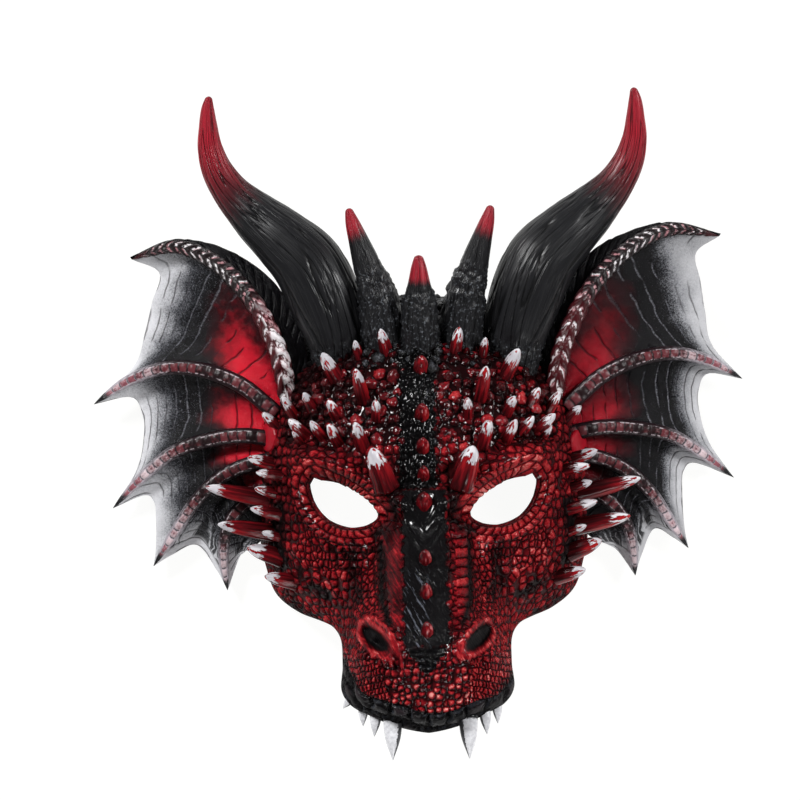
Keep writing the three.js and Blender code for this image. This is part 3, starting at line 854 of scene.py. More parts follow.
blocks = over(2.9 - np.abs(sx - 17)) * ease(-88, -86, sy) * ease(-48, -50, sy)
small = np.maximum.reduce([
    over(5 - np.abs(X - 27.5), 1) * ease(-54, -58, sy),
    over(-100 - sy, 1) * ease(30, 24, X),
    ease(12, 9, np.hypot((X - 47) * 0.8, sy + 57)),
])
lumps = ease(-10, -6, sy + wavy(sx)) * ease(66, 62, X) * (1 - rock)
rim_share = np.hypot(sx, sy - MIDDLE_Y) / through(AROUND, np.arctan2(X, sy - MIDDLE_Y))
room = on_skin * ease(0.4, 2.4, eye_out) * ease(0.0, 1.6, nostril_out) * ease(1, 0.985, rim_share)

note(skin, "spot", spots)
note(skin, "eye", eye_round, eye_out, eye_rows)
note(skin, "muzzle", blades, lips, lip_drop)
note(skin, "snout", plates, blocks, small)
note(skin, "brow", rock, lumps, room)
print("rock on", round(100 * float((rock[on_skin] > 0.5).mean())), "% of the skin")

# %% [markdown]
# The painter doesn't follow the scales: black lies in broad strokes under the eyes and down the
# cheeks, and the brightest red on brows and lids. So the strokes are paths with a width.

# %% Light and dark paint
# path, half width, softness, strength
DARK_STROKES = [
    ([(20.5, -54), (20.5, -80), (17, -90)], 1.2, 1.5, 0.9),
    ([(33, -54), (34, -74), (31, -80)], 2.6, 3, 0.6),
    ([(13, -30), (15, -47), (22, -50)], 3.0, 2.5, 0.7),
    ([(68, -38), (70, -56), (66, -64)], 3, 1.5, 0.75),
    ([(45, -80), (52, -75)], 2.6, 1.5, 0.7),
    ([(66, -84), (52, -92), (44, -100)], 3, 1.5, 0.55),
    ([(10, 30), (26, 28), (44, 30), (60, 20)], 3, 1.5, 0.6),
]
LIGHT_STROKES = [
    ([(20, -26), (34, -20), (48, -14), (60, -13)], 3, 1.5, 0.25),
    ([(27, -60), (27, -84)], 3, 1.5, 0.22),
    ([(57, -54), (52, -60), (44, -70)], 7, 3, 0.3),
]


def stroke(path, width, soft, strength=1.0):
    return strength * over(width - nearest_on_path(X, sy, path), soft)


ridge_width = np.interp(sy, [-94, -50], [2.4, 4.6])
ridge = over(ridge_width + 0.5 * wavy(sy) - np.abs(sx + 10.6 + ridge_width), 0.6)
ridge *= ease(-95, -90, sy + wavy(sx)) * ease(-44, -50, sy + wavy(sx))
lid = ease(1.6, 0.6, eye_out) * ease(-20, -19, eye_out)
nostril_rim = ease(3.8, 3.0, nostril_out) * ease(-110, -108, sy)
nostril_tail = stroke(NOSTRIL_RIDGE, 1.1, 0.7) * (sx < 0) * ease(-114, -108, sy)
fleshy = np.maximum(nostril_rim, nostril_tail)
smooth = np.maximum.reduce([ridge, lid, fleshy])
black = np.maximum.reduce([
    rock, plates, lips, over(-nostril_out - 0.5, 2), ease(0, 6, lip_drop + 6) * ease(28, 36, X) * 0.8,
    ease(30, 44, sy) * 0.9, lumps * 0.4, *(stroke(*row) for row in DARK_STROKES),
])
bright = (
    0.42 + sum(stroke(*row) for row in LIGHT_STROKES)
    + 0.42 * ease(11, 8, eye_out) * ease(1.0, 2.5, eye_out) + 0.4 * fleshy - 0.1 * smooth
    + 0.14 * ease(24, 16, X) * ease(-106, -112, sy) + 0.1 * blocks
    + 0.14 * ease(-10, 15, sx) - 0.12 * ease(50, 64, X)
)
note(skin, "nose", front, fleshy, ease(-0.4, -1.6, nostril_out))
note(skin, "coat", black, np.clip(bright, 0, 1), smooth)
print("black paint on", round(100 * float((black[on_skin] > 0.5).mean())), "% of the skin")

# %% [markdown]
# ## The relief of the skin
#
# One rule describes all the scales: how high they stand, a number of their own for each one, and
# how deep the zone is cut. Thousands of small solids would be too heavy, so a geometry tree moves
# the skin's own points. The paint uses the same rule, so that every dark line falls in a groove.

# %% The rule for the scales
PEBBLE, GRAIN = 4.4, 2.9  # mm from scale to scale on the cheeks, and where they are finest
UNEVEN = 0.6


def cells(spot, size, feature="F1", output=0):
    """One measure of a pattern of uneven cells of about this size."""
    inputs = {"Vector": spot, "Scale": 1 / size, "Randomness": UNEVEN}
    return spot.node("ShaderNodeTexVoronoi", {"feature": feature}, inputs, output)


def stones(spot, size):
    """Pebbles: distance in mm from the gap round each, and a number for each."""
    return cells(spot, size, "DISTANCE_TO_EDGE") * size, cells(spot, size, output="Color").part(0)


def pebbles(spot, size, fill):
    """Stones worn round; fill is their radius as a share of the size."""
    edge, own = stones(spot, size)
    return edge.at_most((fill - cells(spot, size)).at_least(0.0) * size), own


def own_number(x, y):
    """A number for each pair of whole numbers."""
    inputs = {"Vector": vector(x, y)}
    return x.node("ShaderNodeTexWhiteNoise", {"noise_dimensions": "2D"}, inputs)


def bricks(along, out, length, width):
    """Rows of bricks, every other row shifted by half a brick."""
    across = out / width
    row = across.floor()
    column = along / length + row.math("PINGPONG", row, 1.0) * 0.5
    edge = (column.to_edge() * length).at_most(across.to_edge() * width)
    return edge, own_number(column.floor(), row)


def scales(tree, pebble, grain):
    """Height of the scales from 0 to 1, mm from the gap, their own numbers, and their depth in mm."""
    spot = read_vector(tree, "spot")
    x, y = spot.part(0), spot.part(1)
    eye_round, eye_out, eye_rows = numbers(tree, "eye")
    blades, lips, lip_drop = numbers(tree, "muzzle")
    plates, blocks, small = numbers(tree, "snout")
    rock, lumps, room = numbers(tree, "brow")
    front = numbers(tree, "nose")[0]
    smooth = plates.at_least(numbers(tree, "coat")[2])
    wobble = spot.noise(5.0) - 0.5
    shiver = spot.scaled(1.3, -1.1, 0.9).noise(3.0) - 0.5
    fan = y * -1 - 0.25 * abs(x) + 3 * wobble
    edge, own = pebbles(spot, pebble, 0.68)
    reach, depth = 1.8, 0.9
    # where, the scales there, mm from gap to full height, mm of depth; each lies over those before
    layers = [
        (small, stones(spot.scaled(1.0, 0.85, 0.85), grain), 1.2, 0.8),
        (lumps, pebbles(spot.scaled(0.95, 1.05, 1.0), 4.8, 0.58), 2.0, 1.7),
        (blades, bricks(x + 4 * wobble, fan, 1.7, 3.0), 0.7, 0.45),
        (blocks, bricks(y + 2 * wobble, x - 10, 4.4, 20.0), 1.6, 0.7),
        (front, pebbles(spot.scaled(1.0, 0.9, 0.9), 3.3, 0.64), 1.6, 1.7),
        (eye_rows, bricks(eye_round + 3 * wobble, eye_out - 1.7 + 1.3 * shiver, 3.7, 3.9), 1.5, 0.9),
        (lips, bricks(x + 5 * wobble, lip_drop + 3 * shiver, 8.8, 7.0), 2.8, 1.8),
        (rock, stones(spot, 3.2), 1.5, 2.2),
    ]
    for zone, (near_gap, number), far, deep in layers:
        on = zone > 0.5
        edge, own = on.pick(edge, near_gap), on.pick(own, number)
        reach, depth = on.pick(reach, far), on.pick(depth, deep)
    t = (edge / reach).at_most(1.0)
    dome = t * (2 - t)
    return smooth.pick(dome, 0.7), smooth.pick(edge, 3.0), own, depth * room * (1 - smooth)


# %% [markdown]
# ## The paint of the skin
#
# The mould's skin is dipped black-brown, sprayed crimson, and brushed nearly dry with brighter
# reds and at last pink. A picture laid over the mask would smear down its steep sides.
# Here the colour follows the height instead: dark grooves, red bodies, pink tops. Painted light lies
# over it: grey painted glints on the tops of the black and thin streaks on the snout band, and every
# scale lighter on its upper left side and darker on the other.

# %% Skin paint
# the third colour is the grey of painted glints on the black paint
NEAR_BLACK, LIP_SHEEN, GLINT_GREY = (0.004, 0.0035, 0.004), (0.034, 0.025, 0.029), (0.13, 0.14, 0.17)
FOAM_DARK, FOAM_LIGHT = (0.012, 0.011, 0.012), (0.035, 0.03, 0.03)
REDS = [
    (0.0, (0.009, 0.0016, 0.002)), (0.22, (0.034, 0.0028, 0.004)), (0.42, (0.108, 0.0045, 0.0075)),
    (0.6, (0.26, 0.008, 0.0125)), (0.78, (0.48, 0.034, 0.037)), (1.0, (0.82, 0.3, 0.27)),
]


def skin_paint(tree):
    height, edge, own, _ = scales(tree, PEBBLE, GRAIN)
    facing, steep, sloped = (read(tree, name) for name in ("facing", "steep", "sloped"))
    front, fleshy, nostril = numbers(tree, "nose")
    black, bright, smooth = numbers(tree, "coat")
    plates, rock, lips = (numbers(tree, name)[k] for name, k in (("snout", 0), ("brow", 0), ("muzzle", 1)))
    spot = read_vector(tree, "spot")
    x, y = spot.part(0), spot.part(1)
    patches = spot.noise(13.0, 3.0) - 0.5
    brush = spot.noise(1.1, 3.0, 0.7) - 0.5
    feather = vector(x + 0.6 * y, (y - 0.6 * x) * 0.16).noise(1.5, 3.0, 0.6)
    gap = edge.ease(0.0, 0.3)
    # a lighter ring just inside each scale's edge: dry brush, and partly a painted highlight
    rim = edge.ease(0.25, 0.55) * edge.ease(1.1, 0.7) * brush.ease(-0.1, 0.1)
    tone = 0.27 + 0.38 * bright + patches * 0.62 + (own - 0.5) * 0.26
    # lighter where a scale faces the upper left, darker where it faces away: painted light and shade
    tone = tone + facing * (0.4 + front * 0.2) + fleshy * 0.12 + rim * 0.14
    tone = tone + (height - 0.8) * 0.3 + smooth * (feather - 0.55) * 1.3
    tone = tone + brush * (0.3 + 0.5 * height.ease(0.75, 1.0))
    red = (tone * (0.66 + 0.34 * gap) - black * 0.5).ramp(REDS)
    dark = (black + patches * 0.4).ease(0.5, 0.9)
    # grey on the tops of the black and thin grey streaks on the snout band are painted glints
    glint_streaks = feather.ease(0.56, 0.66) * plates * x.ease(3.0, -2.0) * y.ease(-62.0, -74.0)
    top_glint = height.ease(0.8, 1.0) * brush.ease(0.12, 0.24) * (0.3 + rock * 0.15)
    glint = dark * (top_glint + facing.ease(0.2, 0.5) * 0.22 + glint_streaks * 0.75) * (1 - nostril)
    sheen = lips * height.ease(0.6, 1.0) * (patches * 2.0 + brush).ease(-0.2, 0.4)
    colour = glint.tint(dark.tint(red, sheen.tint(NEAR_BLACK, LIP_SHEEN)), GLINT_GREY)
    fine = height * 1.2 + gap * 0.2 + rock * spot.noise(1.8, 2.0) * 2.5
    fine = fine + (plates + smooth * 0.7) * feather * 0.9
    wet = (0.28 + rock * 0.04 + plates * 0.16) * (1 - sloped) * (1 - nostril)
    return {**look(colour, 0.12 + patches * 0.08 + steep * 0.5, fine, 0.0012), "Coat Weight": wet}


def inner_paint(tree):
    spot = object_spot(tree)
    pores = spot.node("ShaderNodeTexVoronoi", inputs={"Scale": 900.0})
    colour = (pores * 0.5 + spot.noise(0.03, 3.0) * 0.7).ease(0.2, 1.0).tint(FOAM_DARK, FOAM_LIGHT)
    return look(colour, 0.75 + pores * 0.2, pores, 0.0003)


skin_material = paint("scaled_skin", skin_paint, Specular_IOR_Level=0.06, Coat_Roughness=0.1)
inner_material = paint("bare_foam", inner_paint, Specular_IOR_Level=0.25)

# %% [markdown]
# Now the rule moves the skin's points. Each point also gets to know how much more it faces the upper
# left than the smooth skin would, and the paint is lighter there and darker on the far side: painted
# light and shade, from where the strongest lamp stands. On slopes the paint is duller, or the pale
# table would shine in it.

# %% The relief
# the way the painted light and shade come from: the upper left
LIT_FROM = (-0.55, 0.65, 0.3)


def raise_scales(geometry, Pebble, Grain, Amount):
    tree = geometry.tree
    height, _, own, depth = scales(tree, Pebble, Grain)
    spot = read_vector(tree, "spot")
    plates = numbers(tree, "snout")[0]
    rock, _, room = numbers(tree, "brow")
    streaks = (spot.scaled(1.0, 0.35, 0.35).noise(2.2, 3.0) - 0.5) * 1.2
    lift = (height - 0.8 + 0.25 * (own - 0.5)) * depth + plates * (streaks * 0.6 - 0.2) * room
    return push(geometry, (lift + rock * (spot.noise(4.5, 3.0) - 0.6) * room * 2.6) * Amount)


before = normals(skin)
upright = before[:, 2].astype(float)
note(skin, "steep", ease(0.75, 0.3, upright))
note(skin, "sloped", ease(0.94, 0.68, upright))
sizes = {"Pebble": PEBBLE, "Grain": GRAIN, "Amount": 1.0}
shape_with(skin, "scale_relief", raise_scales, [skin_material, inner_material], **sizes)
note(skin, "facing", (normals(skin) - before) @ LIT_FROM)
finish(skin)

# %% [markdown]
# ## Knobs on the forehead
#
# The forehead is sown with small red knobs of all sizes, as if pebbles had been pushed into the
# clay, and black ones crowd between the horns. They repeat without an order, so setting each by
# hand would take long. A geometry tree sows points on the skin, never closer than a gap, and sets
# a dented lump of few faces on each. Each knob also takes over what the skin knows at its root.

# %% Forehead knobs
DENSEST = 200000  # points to the square metre, before the gap thins them out
DENT = 4.8
SMALL_MARKS = 0.0012
# the second colour is the grey of painted glints on the dark knobs' tops
KNOB_BLACK, KNOB_GLINT = (0.003, 0.003, 0.0035), (0.11, 0.115, 0.135)


def knob_paint(tree):
    own, up, facing = (read(tree, name) for name in ("own", "up", "facing"))
    brush = object_spot(tree).noise(SMALL_MARKS, 3.0, 0.7)
    # lighter towards the top and on the side that faces the upper left: painted light and shade
    level = 0.2 + own * 0.3 + up * 0.14 + (brush - 0.5) * 0.8 + (facing - 0.2) * 0.5
    return look(level.ramp(REDS), 0.07 + own * 0.08, brush, 0.0002)


def dark_knob_paint(tree):
    brush = object_spot(tree).noise(SMALL_MARKS, 3.0, 0.7) - 0.5
    # grey on the knobs' tops: painted glints
    top_glint = (read(tree, "up") + brush * 2.0).ease(0.7, 1.2) * 0.7
    return look(top_glint.tint(KNOB_BLACK, KNOB_GLINT), 0.14 + read(tree, "own") * 0.16, brush, 0.0008)


def stored(geometry, name, value):
    """Keep a number for each point, by name."""
    inputs = {"Geometry": geometry, "Name": name, "Value": value}
    return geometry.node("GeometryNodeStoreNamedAttribute", {"data_type": "FLOAT"}, inputs)


def chance(geometry, low, high, seed):
    """A number for each point, by lot."""
    inputs = {2: low, 3: high, "Seed": seed}
    return geometry.node("FunctionNodeRandomValue", {"data_type": "FLOAT"}, inputs, 1)


def sow_knobs(geometry, Gap, Smallest, Largest):
    tree = geometry.tree
    inputs = {"Mesh": geometry, "Distance Min": Gap, "Density Factor": read(tree, "sown"),
              "Density Max": DENSEST, "Seed": 7}
    settings = {"distribute_method": "POISSON"}
    dots = geometry.node("GeometryNodeDistributePointsOnFaces", settings, inputs, "Points")
    turn = Wire(tree, dots.socket.node.outputs["Rotation"])
    lump = geometry.node("GeometryNodeMeshIcoSphere", inputs={"Radius": 1.0, "Subdivisions": 2})
    lump = stored(lump, "up", geometry.node("GeometryNodeInputPosition").part(2))
    own = chance(geometry, 0.0, 1.0, 3)
    size = own.pick(Smallest, Largest)
    inputs = {"Points": stored(dots, "own", own), "Instance": lump, "Rotation": turn,
              "Scale": vector(size, size * chance(geometry, 0.75, 1.35, 5), size * 0.6)}
    made = realized(dots.node("GeometryNodeInstanceOnPoints", inputs=inputs))
    made = made.node("GeometryNodeSetShadeSmooth", inputs={0: made})
    dents = made.node("GeometryNodeInputPosition").noise(0.0023, 2.0) - 0.5
    return push(made, dents * DENT)


# %% Sow them
def sow(name, where, material, **sizes):
    """Sow knobs on a copy of the skin, most densely where the number for a point is 1."""
    piece = add(name, skin.data.copy())
    note(piece, "sown", where)
    shape_with(piece, name + "_sown", sow_knobs, [material], **sizes)
    finish(piece)


red_field = ease(6, 10, X) * ease(58, 50, X) * ease(-12, -6, sy) * ease(34, 26, sy + 0.12 * X) * on_skin
dark_field = ease(23, 34, sy) * ease(31, 26, X) * ease(6, 12, sz) * on_skin
red_knobs = paint("brushed_knobs", knob_paint, Specular_IOR_Level=0.4)
dark_knobs = paint("dark_knobs", dark_knob_paint, Specular_IOR_Level=0.3)
sow("forehead_knobs", red_field, red_knobs, Gap=0.0054, Smallest=0.001, Largest=0.0032)
sow("dark_knobs", dark_field, dark_knobs, Gap=0.0042, Smallest=0.001, Largest=0.0034)

# %% [markdown]
# ## Spikes
#
# Fifty thorns stand on the forehead, round the eyes and down the cheeks, and a row of blunt red
# knobs runs down the middle. Modelling each one would mean changing fifty when the shape isn't
# right yet. Instead a geometry tree sets one ridged thorn again and again, at its own size and lean.

# %% Where the spikes stand
# tip x, y; root x, y; radius
SPIKES = [
    (18.4, 44.7, 16.3, 35.5, 2.6), (30.5, 39.7, 29.2, 33.4, 1.9), (45.8, 34.1, 40, 23.6, 3.3),
    (30.3, 26.2, 27.6, 13.6, 3), (55, 15.8, 51.4, 9.8, 2.4), (43.3, 12, 40.3, 6.2, 2.6),
    (64.8, 14.3, 59.6, 5.4, 2.4), (74.8, 7, 68.6, 1, 2.4), (62, 3.5, 55, -3.2, 2.7),
    (51.8, 2.6, 47.2, -4, 2.3), (43.6, 1.3, 39.2, -7.3, 2.6), (31.1, 1.5, 28.2, -8.6, 3),
    (23.4, -10.4, 18, -26.5, 5), (21.3, 11.8, 21.2, 4.7, 2.3), (60.2, -1.4, 57, -6, 2),
    (79.6, -1.4, 74, -4, 2), (82, -14, 71, -17.5, 2.8), (78, -21, 67, -22.5, 2.5),
    (79, -28.5, 70, -31, 2.4), (102.2, -27.4, 74, -34, 3.6), (81.2, -37.7, 68.5, -41, 2.6),
    (96.8, -45, 72, -49.5, 3.6), (76, -49, 69, -51.5, 2), (83.1, -56.2, 69.5, -61, 3.8),
    (75.2, -69.5, 63, -72.5, 3.2),
]
# y, radius
CREST = [
    (27.3, 2.8), (5.5, 2.8), (-10, 2.6), (-23, 2.3), (-36, 3.2), (-62.2, 2.5), (-77.3, 2.5), (-94.4, 2.5),
]
SPIKE_LIFT, SPIKE_SINK, SPIKE_FATNESS = 0.95, 3, 1.12
CREST_HEIGHT = 6
STEP = 0.5  # mm over which a slope is measured


def skin_at(x, y):
    return face_height(np.array([float(x)]), np.array([float(y)])).item()


def skin_normal(x, y):
    across = skin_at(x - STEP, y) - skin_at(x + STEP, y)
    along = skin_at(x, y - STEP) - skin_at(x, y + STEP)
    normal = np.array([across, along, 2 * STEP])
    return normal / np.linalg.norm(normal)


def spike_roots():
    """Root, way to the tip and radius of every spike."""
    rows = []
    for side in (1, -1):
        for tip_x, tip_y, root_x, root_y, radius in SPIKES:
            root = np.array([root_x, root_y, skin_at(root_x, root_y)])
            run = np.hypot(tip_x - root_x, tip_y - root_y)
            lift = SPIKE_LIFT * skin_normal(root_x, root_y)[2] ** 1.5
            tip = np.array([tip_x, tip_y, root[2] + run * lift])
            rows.append((root * [side, 1, 1], (tip - root) * [side, 1, 1], radius))
    return rows


def crest_roots():
    rows = []
    for y, radius in CREST:
        heading = skin_normal(0, y) + [0, 0.5, 0]
        way = heading / np.linalg.norm(heading) * CREST_HEIGHT
        rows.append((np.array([0, y, skin_at(0, y)]), way, radius))
    return rows


# %% The thorn and its copies
def thorn(name, sides, levels, lobes, lobe_depth, blunt):
    """A ridged thorn of height 1 and radius 1 on the origin, a little swollen at its foot."""
    up = np.linspace(0, 0.985, levels)
    turn = round_turns(sides)
    body = (1 - up**blunt) ** 0.6 * (1 + 0.1 * np.exp(-((up / 0.12) ** 2)))
    ridge = 1 + lobe_depth * np.cos(lobes * turn) * (1 - 0.3 * up[:, None])
    radius = body[:, None] * ridge
    rings = np.stack([radius * np.cos(turn), radius * np.sin(turn), np.repeat(up[:, None], sides, 1)], 2)
    points, faces = from_rings(rings, [0, 0, 0], [0, 0, 1])
    made = mesh_object(name, points, [block[:, ::-1] for block in faces])
    note(made, "own_place", points)
    return made


def copies(name, rows, shape, material):
    """A copy of a shape on each root, leaning its way."""
    roots = np.array([root - SPIKE_SINK * way / np.linalg.norm(way) for root, way, _ in rows])
    ways = np.array([way for _, way, _ in rows])
    radii = np.array([radius for *_, radius in rows])
    lengths = np.linalg.norm(ways, axis=1) + SPIKE_SINK
    piece = mesh_object(name, place(roots), [])
    note(piece, "way", ways)
    note(piece, "size", lengths * MM, radii * MM, lengths)
    note(piece, "own", np.random.default_rng(4).random(len(rows)))

    def plant(geometry, Fatness):
        height, radius, _ = numbers(geometry.tree, "size")
        way = read_vector(geometry.tree, "way")
        radius = radius * Fatness
        inputs = {
            "Points": geometry.node("GeometryNodeMeshToPoints", inputs={"Mesh": geometry}),
            "Instance": geometry.node("GeometryNodeObjectInfo", inputs={"Object": shape}, output="Geometry"),
            "Rotation": way.node("FunctionNodeAlignRotationToVector", {"axis": "Z"}, {"Vector": way}),
            "Scale": vector(radius, radius, height),
        }
        return geometry.node("GeometryNodeInstanceOnPoints", inputs=inputs)

    shape_with(piece, name + "_copies", plant, [material], Fatness=SPIKE_FATNESS)
    # how much each point faces the upper left, for painted light and shade
    note(piece, "facing", normals(piece) @ LIT_FROM)
    return piece


# %% [markdown]
# The painter tips each spike in white, with a brush that leaves ragged edges and bare flecks, and
# the longest get a shorter tip for their length. Only a number of its own tells one copy from the
# next, and it moves the pattern, so that no two are painted alike.

# %% Spike paint
CRIMSONS = [*REDS[:-2], (0.78, (0.4, 0.016, 0.016))]
TIP_GREY, TIP_WHITE = (0.5, 0.48, 0.52), (0.82, 0.8, 0.83)
# the last colour is the pink of a painted glint on the crest knobs
CREST_GLINT_PINK = (0.8, 0.35, 0.36)


def own_spot(tree, squash):
    """A place on a thorn of height 1, moved by the copy's own number."""
    own = read(tree, "own")
    spot = read_vector(tree, "own_place").scaled(1.0, 1.0, squash)
    return spot.arrows("ADD", vector(own * 37, own * 11, own * 5))


def spike_paint(tree):
    own, facing = read(tree, "own"), read(tree, "facing")
    up = numbers(tree, "own_place")[2]
    spot = own_spot(tree, 0.35)
    streaks = spot.noise(0.42, 3.0, 0.6)
    blotch = spot.noise(1.2, 2.0)
    long = numbers(tree, "size")[2].ease(14.0, 30.0)
    white = (up + (streaks - 0.5) * 0.9 + (own - 0.5) * 0.2 - long * 0.15).ease(0.58, 0.61)
    holes = (blotch * 0.4 + streaks * 0.8 + (1 - up) * 0.1).ease(0.66, 0.69)
    cover = white * (1 - holes)
    # lighter on the side that faces the upper left: painted light and shade
    red = (0.24 + up * 0.42 + (streaks - 0.5) * 1.2 + facing * 0.22).ramp(CRIMSONS)
    colour = cover.tint(red, blotch.ease(0.3, 0.7).tint(TIP_GREY, TIP_WHITE))
    return look(colour, 0.12 + streaks * 0.12, streaks * 0.6 + cover * 0.6, 0.0005)


def crest_paint(tree):
    up = numbers(tree, "own_place")[2]
    facing = read(tree, "facing")
    streaks = own_spot(tree, 1.0).noise(0.6, 3.0, 0.6)
    # lighter on the side that faces the upper left, with a pink painted glint there: painted light
    red = (0.34 + up * 0.2 + (streaks - 0.5) * 1.1 + facing * 0.3).ramp(CRIMSONS)
    caught = up.ease(0.3, 0.7) * streaks.ease(0.5, 0.62) * facing.ease(-0.1, 0.4) * 0.5
    return look(caught.tint(red, CREST_GLINT_PINK), 0.08 + streaks * 0.1, streaks, 0.0004)


thorn_shape = thorn("thorn", 20, 18, 5, 0.07, 3.0)
knob_shape = thorn("crest_knob", 20, 14, 4, 0.09, 3.4)
tipped = paint("tipped_spikes", spike_paint, Specular_IOR_Level=0.14)
plain_red = paint("red_crest", crest_paint, Specular_IOR_Level=0.25)
spikes = copies("spikes", spike_roots(), thorn_shape, tipped)
crest = copies("crest_knobs", crest_roots(), knob_shape, plain_red)
for shape in (thorn_shape, knob_shape):
    bpy.data.objects.remove(shape)
finish(spikes)
finish(crest)

# %% [markdown]
# ## Horns
#
# The horns are soft too, but look like real horn: long fine grooves run up them, close together
# and never quite straight. Blender could sweep a circle along a curve, but a tube that is written
# out knows its own measures, and the grooves and the paint need them. So a tube follows each
# horn's path, and a geometry tree cuts the grooves.

# %% A tube along a path
def curve_through(stations, t):
    """Points of a smooth curve through stations, for t from 0 to 1."""
    points = np.array([station[:3] for station in stations], float)
    padded = np.vstack([2 * points[0] - points[1], points, 2 * points[-1] - points[-2]])
    spot = np.clip(t, 0, 1) * (len(points) - 1)
    i = np.minimum(spot.astype(int), len(points) - 2)
    w = (spot - i)[:, None]
    p0, p1, p2, p3 = (padded[i + k] for k in range(4))
    ends = p1 * (1 + 2 * w) * (1 - w) ** 2 + p2 * (3 - 2 * w) * w**2
    return ends + (p2 - p0) / 2 * w * (1 - w) ** 2 - (p3 - p1) / 2 * w**2 * (1 - w)


def unit(arrows):
    return arrows / np.linalg.norm(arrows, axis=1)[:, None]


def limb(name, stations, sides, steps, depth=1.0, side=1, shift=(0, 0, 0), tip=0.02, blunt=0.5):
    """A tapered limb through stations of x, y, z and radius, with its own measures noted.

    Its rings lie closer towards the tip. The spoke is its turn as cosine and sine, so that a pattern
    closes round the limb.
    """
    t = 1 - (1 - np.linspace(0, 0.9985, steps)) ** 1.25
    middle = curve_through(stations, t)
    ahead = unit(curve_through(stations, t + 1e-4) - curve_through(stations, t - 1e-4))
    right = unit(np.cross(ahead, [0, 0, 1]))
    up = np.cross(right, ahead)
    radii = through([(k / (len(stations) - 1), station[3]) for k, station in enumerate(stations)], t)
    radii = radii * (1 - np.clip((t - 1 + tip) / tip, 0, 0.998) ** 2) ** blunt
    turn = round_turns(sides)
    spoke = right[:, None] * np.cos(turn)[:, None] + up[:, None] * np.sin(turn)[:, None] * depth
    rings = middle[:, None] + spoke * radii[:, None, None]
    points, faces = from_rings(rings, stations[0][:3], stations[-1][:3])
    gone = np.concatenate([[0], np.cumsum(np.linalg.norm(np.diff(middle, axis=0), axis=1))])
    share = np.append(np.repeat(t, sides), [0, 1])
    along = np.append(np.repeat(gone, sides), [0, gone[-1]])
    across = np.append(np.tile((turn - np.pi / 2 + np.pi) % (2 * np.pi) - np.pi, steps), [0, 0])
    piece = solid(name, points * [side, 1, 1] + shift, faces)
    note(piece, "limb", share, along, across)
    note(piece, "spoke", np.cos(across), np.sin(across), along / 100)
    return piece


# %% Horn grooves and paint
LONG_HORN = [
    (38.5, 22, 34, 13), (41, 40, 38, 14.8), (46.5, 58, 41, 17), (54.3, 75, 42, 16.8),
    (66, 87.5, 41, 14.6), (78, 98.2, 39, 12), (89, 109.4, 38, 9), (95.9, 120.2, 39, 7.4),
    (99.2, 131, 41, 5.9), (99.8, 141, 44, 4.4), (99.8, 149, 46, 3.1), (99, 154.95, 47.5, 1.4),
]
SIDE_HORN = [
    (16, 25, 41, 11), (20, 57, 50, 9.7), (24.6, 73, 53.5, 6.9), (28.4, 85, 56, 4.9),
    (31.3, 94, 57.7, 3.4), (33.2, 101, 59, 1.6),
]
MIDDLE_HORN = [
    (0, 27, 49.5, 9.8), (0, 55, 57, 8.4), (0, 65, 60, 5.4), (0, 73, 62, 3.6), (0, 78.4, 63.5, 1.8),
]
LONG_LEAN, SIDE_LEAN = 2.9, 1.0
SIDES = (("left", 1), ("right", -1))
KNUCKLE = 5.5
# grooves darker, painted shade; ridges lighter, a faint painted sheen; grey strokes, partly painted glints
HORN_GROOVE_SHADE, HORN_RIDGE_SHEEN, HORN_GLINT_GREY = (0.001, 0.001, 0.0012), (0.011, 0.011, 0.0125), (0.12, 0.13, 0.145)
TIP_DARK_RED, TIP_RED = (0.07, 0.003, 0.006), (0.42, 0.018, 0.034)


def grooves(tree):
    """Height from 0 in a groove to 1 on a ridge."""
    spoke = read_vector(tree, "spoke")
    waves = spoke.scaled(1.0, 1.0, 0.55).noise(0.9, 2.0, 0.45)
    fine = spoke.scaled(2.2, 2.2, 0.7).noise(0.5, 2.0)
    return (waves * 12).to_edge().ease(0.0, 0.13) * 0.75 + (fine * 9).to_edge().ease(0.0, 0.3) * 0.25


def groove_horn(geometry, Depth, Rough):
    share = numbers(geometry.tree, "limb")[0]
    taper = (1 - share.ease(0.5, 1.0) * 0.75) * share.ease(1.0, 0.97)
    knuckles = geometry.node("GeometryNodeInputPosition").noise(0.0034, 3.0, 0.6) - 0.55
    knuckles = knuckles * share.ease(Rough, Rough * 0.6) * KNUCKLE
    return push(geometry, (grooves(geometry.tree) - 1) * Depth * taper + knuckles)


def horn_paint(red_from, red_to, rough):
    """Black with a red tip, the ridges lighter than the grooves as painted sheen and shade; up to the
    share called rough, grey strokes over the lumps are a dry brush and partly painted glints.
    """
    def build(tree):
        height = grooves(tree)
        share = numbers(tree, "limb")[0]
        streak = read_vector(tree, "spoke").scaled(3.0, 3.0, 0.6).noise(0.5, 3.0)
        brush = object_spot(tree).noise(0.0014, 3.0, 0.7)
        # grey strokes on the lumps near the root: dry brush, and partly painted glints
        glint_strokes = share.ease(rough, rough * 0.7) * brush.ease(0.56, 0.66) * 0.8
        black = glint_strokes.tint(height.tint(HORN_GROOVE_SHADE, HORN_RIDGE_SHEEN), HORN_GLINT_GREY)
        red = (height * 0.6 + streak * 0.5).ease(0.25, 1.0).tint(TIP_DARK_RED, TIP_RED)
        colour = (share + (streak - 0.5) * 0.12).ease(red_from, red_to).tint(black, red)
        return look(colour, 0.25 + streak * 0.16, height, 0.0004)
    return build


